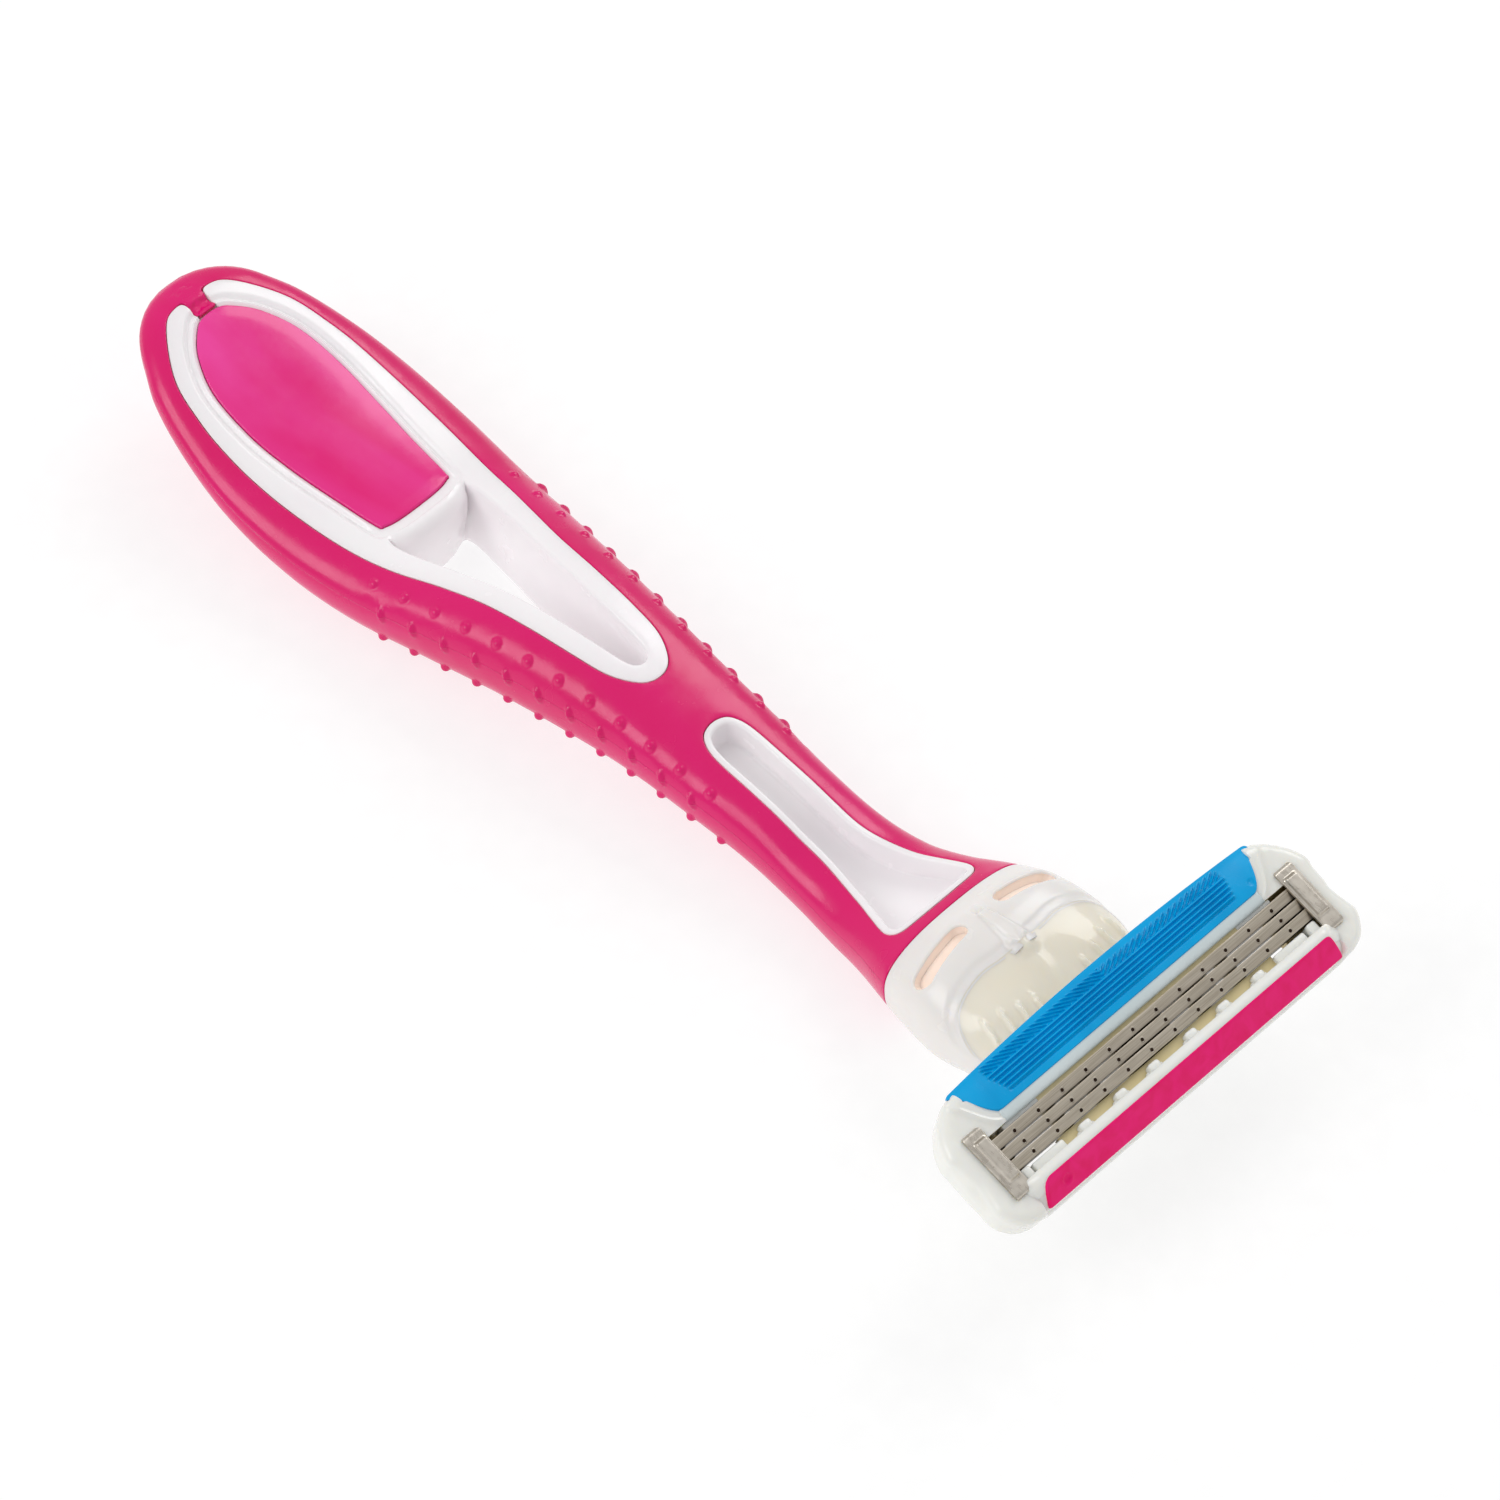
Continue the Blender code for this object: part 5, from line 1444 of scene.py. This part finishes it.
def guard():
    """The guard strip, drawn as sections across it."""
    tips = GUARD_HALF - 0.6 * np.cos(np.linspace(0.15, TOP, 12))
    half_x = np.concatenate([np.arange(0, 15.6, 0.09), np.linspace(15.6, 18.0, 32), tips])
    nominal = np.concatenate([np.linspace(GUARD_INNER[0], -3.9, 8), np.arange(-3.95, -6.2, -0.05),
                              spans((-6.22, -7.3, 22), (-7.36, GUARD_OUTER[0], 8))])
    rows = []
    for x in [*-half_x[:0:-1], *half_x]:
        outer, inner = float(guard_outer_y(x)), float(guard_inner_y(x))
        stretched = -6.6 + (nominal + 6.6) / (GUARD_OUTER[0] + 6.6) * (outer + 6.6)
        y = np.where(nominal < -6.6, stretched, nominal)
        if abs(x) > GUARD_INNER[1]:
            y = inner + (y - GUARD_INNER[0]) / (outer - GUARD_INNER[0]) * (outer - inner)
        z = guard_top(x, y)
        skirt = 0.75 * min((GUARD_HALF - abs(x)) / 0.8, 1.0) + 0.1
        section_points = [
            (inner + 0.1, z[0] - 0.28), (inner + 0.07, z[0] - 0.12), (inner + 0.02, z[0] - 0.03), *zip(y, z),
            (outer - 0.05, z[-1] - 0.1), (outer - 0.02, z[-1] - 0.45), (outer + 0.15, z[-1] - skirt),
            (outer + 0.6, -1.6), (inner + 0.1, -1.3)]
        rows.append([(x, *point) for point in section_points])
    net = Net()
    net.rows(rows, closed=True)
    net.cap(rows[0])
    net.cap(rows[-1])
    piece = net.piece("guard_fins", GUARD_BLUE, "cartridge", "guard", turn=FACE)
    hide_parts("guard_strip")


def strip():
    """The lubricating strip: a soft bar with rounded edges, and a moulding dimple near one end."""
    along = unit(STRIP_FOOT - STRIP_TOP)
    outward = np.array([-along[1], along[0]])
    length = np.linalg.norm(STRIP_FOOT - STRIP_TOP)
    edge = STRIP_EDGE
    side = [(0.0, -0.9), (0.0, -0.5), (0.0, -edge)]
    side += [(edge * (1 - math.cos(t)), -edge * (1 - math.sin(t)))
             for t in np.radians(np.linspace(15, 90, 6))]
    flat = [(s, 0.0) for s in np.linspace(edge, length - edge, 18)[1:-1]]
    s, h = np.array(side + flat + [(length - s, h) for s, h in reversed(side)]).T
    half = np.interp(s / length * STRIP_ENDS[0][-1], *STRIP_ENDS)
    rows = []
    for share in spans((-1, -0.972, 14), (-0.9625, 0.9625, 258), (0.972, 1, 14)):
        x = share * half
        to_end = np.minimum(half * (1 - abs(share)), edge)
        lift = h - edge + np.sqrt(edge ** 2 - (edge - to_end) ** 2)
        if x.mean() > 14:
            away = np.hypot(x - 15.75, s - length * 0.5)
            lift += 0.05 * np.exp(-((away - 0.58) / 0.1) ** 2) - 0.15 * smooth_step(0.5, 0.28, away)
        rows.append(np.column_stack([x, STRIP_TOP + s[:, None] * along + lift[:, None] * outward]))
    net = Net()
    net.rows(rows)
    for row in (rows[0], rows[-1]):
        net.rows([row, row - np.insert(outward * 0.6, 0, 0.0)])
    piece = net.piece("strip_soft", STRIP_PINK, "cartridge", "strip", turn=FACE, centre=(0, 4.2, -1.2))
    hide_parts("lubricating_strip")


def clip(side):
    """A staple over the blades' ends: a plate with a pressed boss, its ends bent down into the housing."""
    middle = side * 19.4
    us = spans((-1, -1, 1), (-0.985, -0.9, 5), (-0.86, 0.86, 26), (0.9, 0.985, 5), (1, 1, 1))
    edge = -0.06 * smooth_step(0.9, 1.0, np.abs(us)) ** 2
    boss_across = smooth_step(0.74, 0.5, np.abs(us + 0.1 * side))
    rows = []
    for v in spans((-3.5, -3.1, 9), (-3.05, 3.05, 76), (3.1, 3.5, 9)):
        bend = max(abs(v) - 3.1, 0.0) / 0.4
        boss = boss_across * smooth_step(-2.55, -2.2, v) * smooth_step(2.05, 1.7, v)
        z = 0.42 * boss + edge - 0.4 * (1 - math.sqrt(max(1 - bend ** 2, 0.0)))
        rows.append(np.column_stack([middle + us * (1 - 0.16 * bend ** 2), np.full(len(us), v), z]))
    net = Net()
    net.rows(rows)
    for column in (0, -1):
        top = np.array([row[column] for row in rows])
        net.rows([top, top - (0, 0, 0.25)])
    for row in (rows[0], rows[-1]):
        net.rows([row - (0, 0, deep) for deep in (0, 2.0, 4.3)])
    piece = net.piece(f"clip_plate_{side}", CLIP_METAL, "cartridge", "clip_metal", turn=FACE,
                      centre=(middle, 0, -3.0))
    for end in (1, -1):
        for name, half, near, far, z, round_by in (("clip_leg", 0.82, 3.12, 3.49, (-4.7, -0.42), 0.08),
                                                   ("clip_foot", 0.8, 2.2, 3.45, (-4.75, -4.42), 0.1)):
            block(f"{name}_{side}_{end}", (middle - half, middle + half), (end * near, end * far), z,
                  round_by, CLIP_METAL, "clip_metal")
    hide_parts("clip_left" if side < 0 else "clip_right")


def blade(number):
    """A ground strip with a row of spot welds, on its bent support."""
    body = f"blade_unit_{number}"
    slope = np.array([math.cos(BLADE_SLOPE), math.sin(BLADE_SLOPE)])
    down = np.array([slope[1], -slope[0]])
    edge = np.array([(number - 2.5) * BLADE_PITCH, BLADE_EDGE_Z])

    def at(along, below):
        return edge + slope * along + down * below

    outline = [at(0, 0.05), at(0.03, 0.03), at(0.3, 0), at(BLADE_WIDTH - 0.03, 0), at(BLADE_WIDTH, 0.03),
               at(BLADE_WIDTH, 0.12), at(0.3, 0.12)]
    made = side_plate(f"blade_strip_{number}", outline, (-BLADE_HALF, BLADE_HALF), 0.0)
    finish_piece(made, BLADE_STEEL, body)
    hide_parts(f"blade_{number}")

    rings, cores = Net(), Net()
    turn = np.linspace(0, 2 * math.pi, 20, endpoint=False)
    for k in range(12):
        def circle(radius, lift):
            x = (k - 5.5) * WELD_PITCH + radius * np.cos(turn)
            return np.column_stack([x, at(0.6, -lift) + slope * radius * np.sin(turn)[:, None]])

        rings.rows([circle(*step) for step in ((0.27, 0.0), (0.25, 0.018), (0.2, 0.022), (0.17, 0.004))],
                   closed=True)
        cores.cap(circle(0.175, 0.006))
    rings.piece(f"weld_rings_{number}", WELD_RING, body, "blade_steel", turn=FACE, centre=(0, 0, -30))
    cores.piece(f"weld_spots_{number}", WELD_DARK, body, "blade_steel", turn=FACE, centre=(0, 0, -30))

    rear, inner = at(0.98, 0.15), at(0.76, 0.37)
    outline = [at(0.3, 0.15), rear, (rear[0], -2.8), (rear[0] - 0.22, -2.8), (rear[0] - 0.22, inner[1]),
               at(0.3, 0.37)]
    # The support's dark steel is painted shade for the gaps between the blades.
    made = side_plate(f"support_strip_{number}", outline, (-19.7, 19.7), 0.05, segments=2)
    finish_piece(made, SHADED_SUPPORT_STEEL, body)
    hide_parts(f"blade_support_{number}")


def tongue_and_lugs():
    """The lugs round the pivot pins, and the tongue that the plunger pushes."""
    _, y, z = PIVOT_FACE
    outline = arc(y, z, PIVOT_BOSS, 180, 360, 19) + [(y + 1.9, -4.0), (y - 1.9, -4.0)]
    for side in (1, -1):
        made = side_plate(f"lug_{side}", outline, (side * 7.3, side * 9.2), 0.22)
        finish_piece(made, HOUSING_WHITE, "cartridge")
    lean = math.radians(20)
    reach = Vector((0, math.sin(lean), -math.cos(lean))) * 3.2
    nose = PIVOT_FACE + Matrix.Rotation(-FACE_TILT, 3, "X") @ reach
    away = (nose - Vector((0, 0.4, -4.2))).normalized()
    heading = math.degrees(math.atan2(away.z, away.y))
    outline = arc(nose.y, nose.z, 1.0, heading - 90, heading + 90, 19)
    outline += [(0.4 - sign * 1.3 * away.z, -3.4 + sign * 1.3 * away.y) for sign in (1, -1)]
    finish_piece(side_plate("tongue", outline, (-1.8, 1.8), 0.22), HOUSING_WHITE, "cartridge")


# ---- Pieces inside the neck -------------------------------------------------------

def return_spring():
    """A coil round the plunger's stem, short enough for the plunger's whole travel."""
    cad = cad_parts["return_spring"]
    place = np.array([tuple(vertex.co) for vertex in cad.data.vertices]) / MM
    low, high = place.min(0), place.max(0)
    start, end = low[1] + SPRING_WIRE, high[1] - SPRING_WIRE - PLUNGER_TRAVEL
    rows = []
    for share in np.linspace(0, 1, 16 * SPRING_TURNS + 1):
        turn = 2 * math.pi * SPRING_TURNS * share
        outward = np.array([math.cos(turn), 0.0, math.sin(turn)])
        centre = np.array([0.0, start + (end - start) * share, (low[2] + high[2]) / 2])
        rows.append([centre + (SPRING_RADIUS + SPRING_WIRE * math.cos(a)) * outward
                     + (0.0, SPRING_WIRE * math.sin(a), 0.0) for a in np.radians(np.arange(0, 360, 36))])
    net = Net()
    net.rows(rows, closed=True)
    net.cap(rows[0])
    net.cap(rows[-1])
    piece = net.piece("spring_coil", PIN_STEEL, "handle", "spring_steel")
    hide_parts("return_spring")


def cad_finishes():
    """Pieces that keep their CAD shapes get their finishes."""
    for name, finish in (("return_plunger", PLUNGER_WHITE), ("pivot_pin_left", PIN_STEEL),
                         ("pivot_pin_right", PIN_STEEL)):
        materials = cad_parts[name].data.materials
        materials.clear()
        materials.append(finish)


# ---- Everything in place ----------------------------------------------------------

camera()
studio()
skin()
core()
palm_pad()
neck_collar()
neck_dome()
front_wall()
arms()
housing()
cap_bar()
rinse_blocks()
clear_bar()
guard()
strip()
tongue_and_lugs()
return_spring()
cad_finishes()
for end in (1, -1):
    clip(end)
for count in (1, 2, 3):
    blade(count)
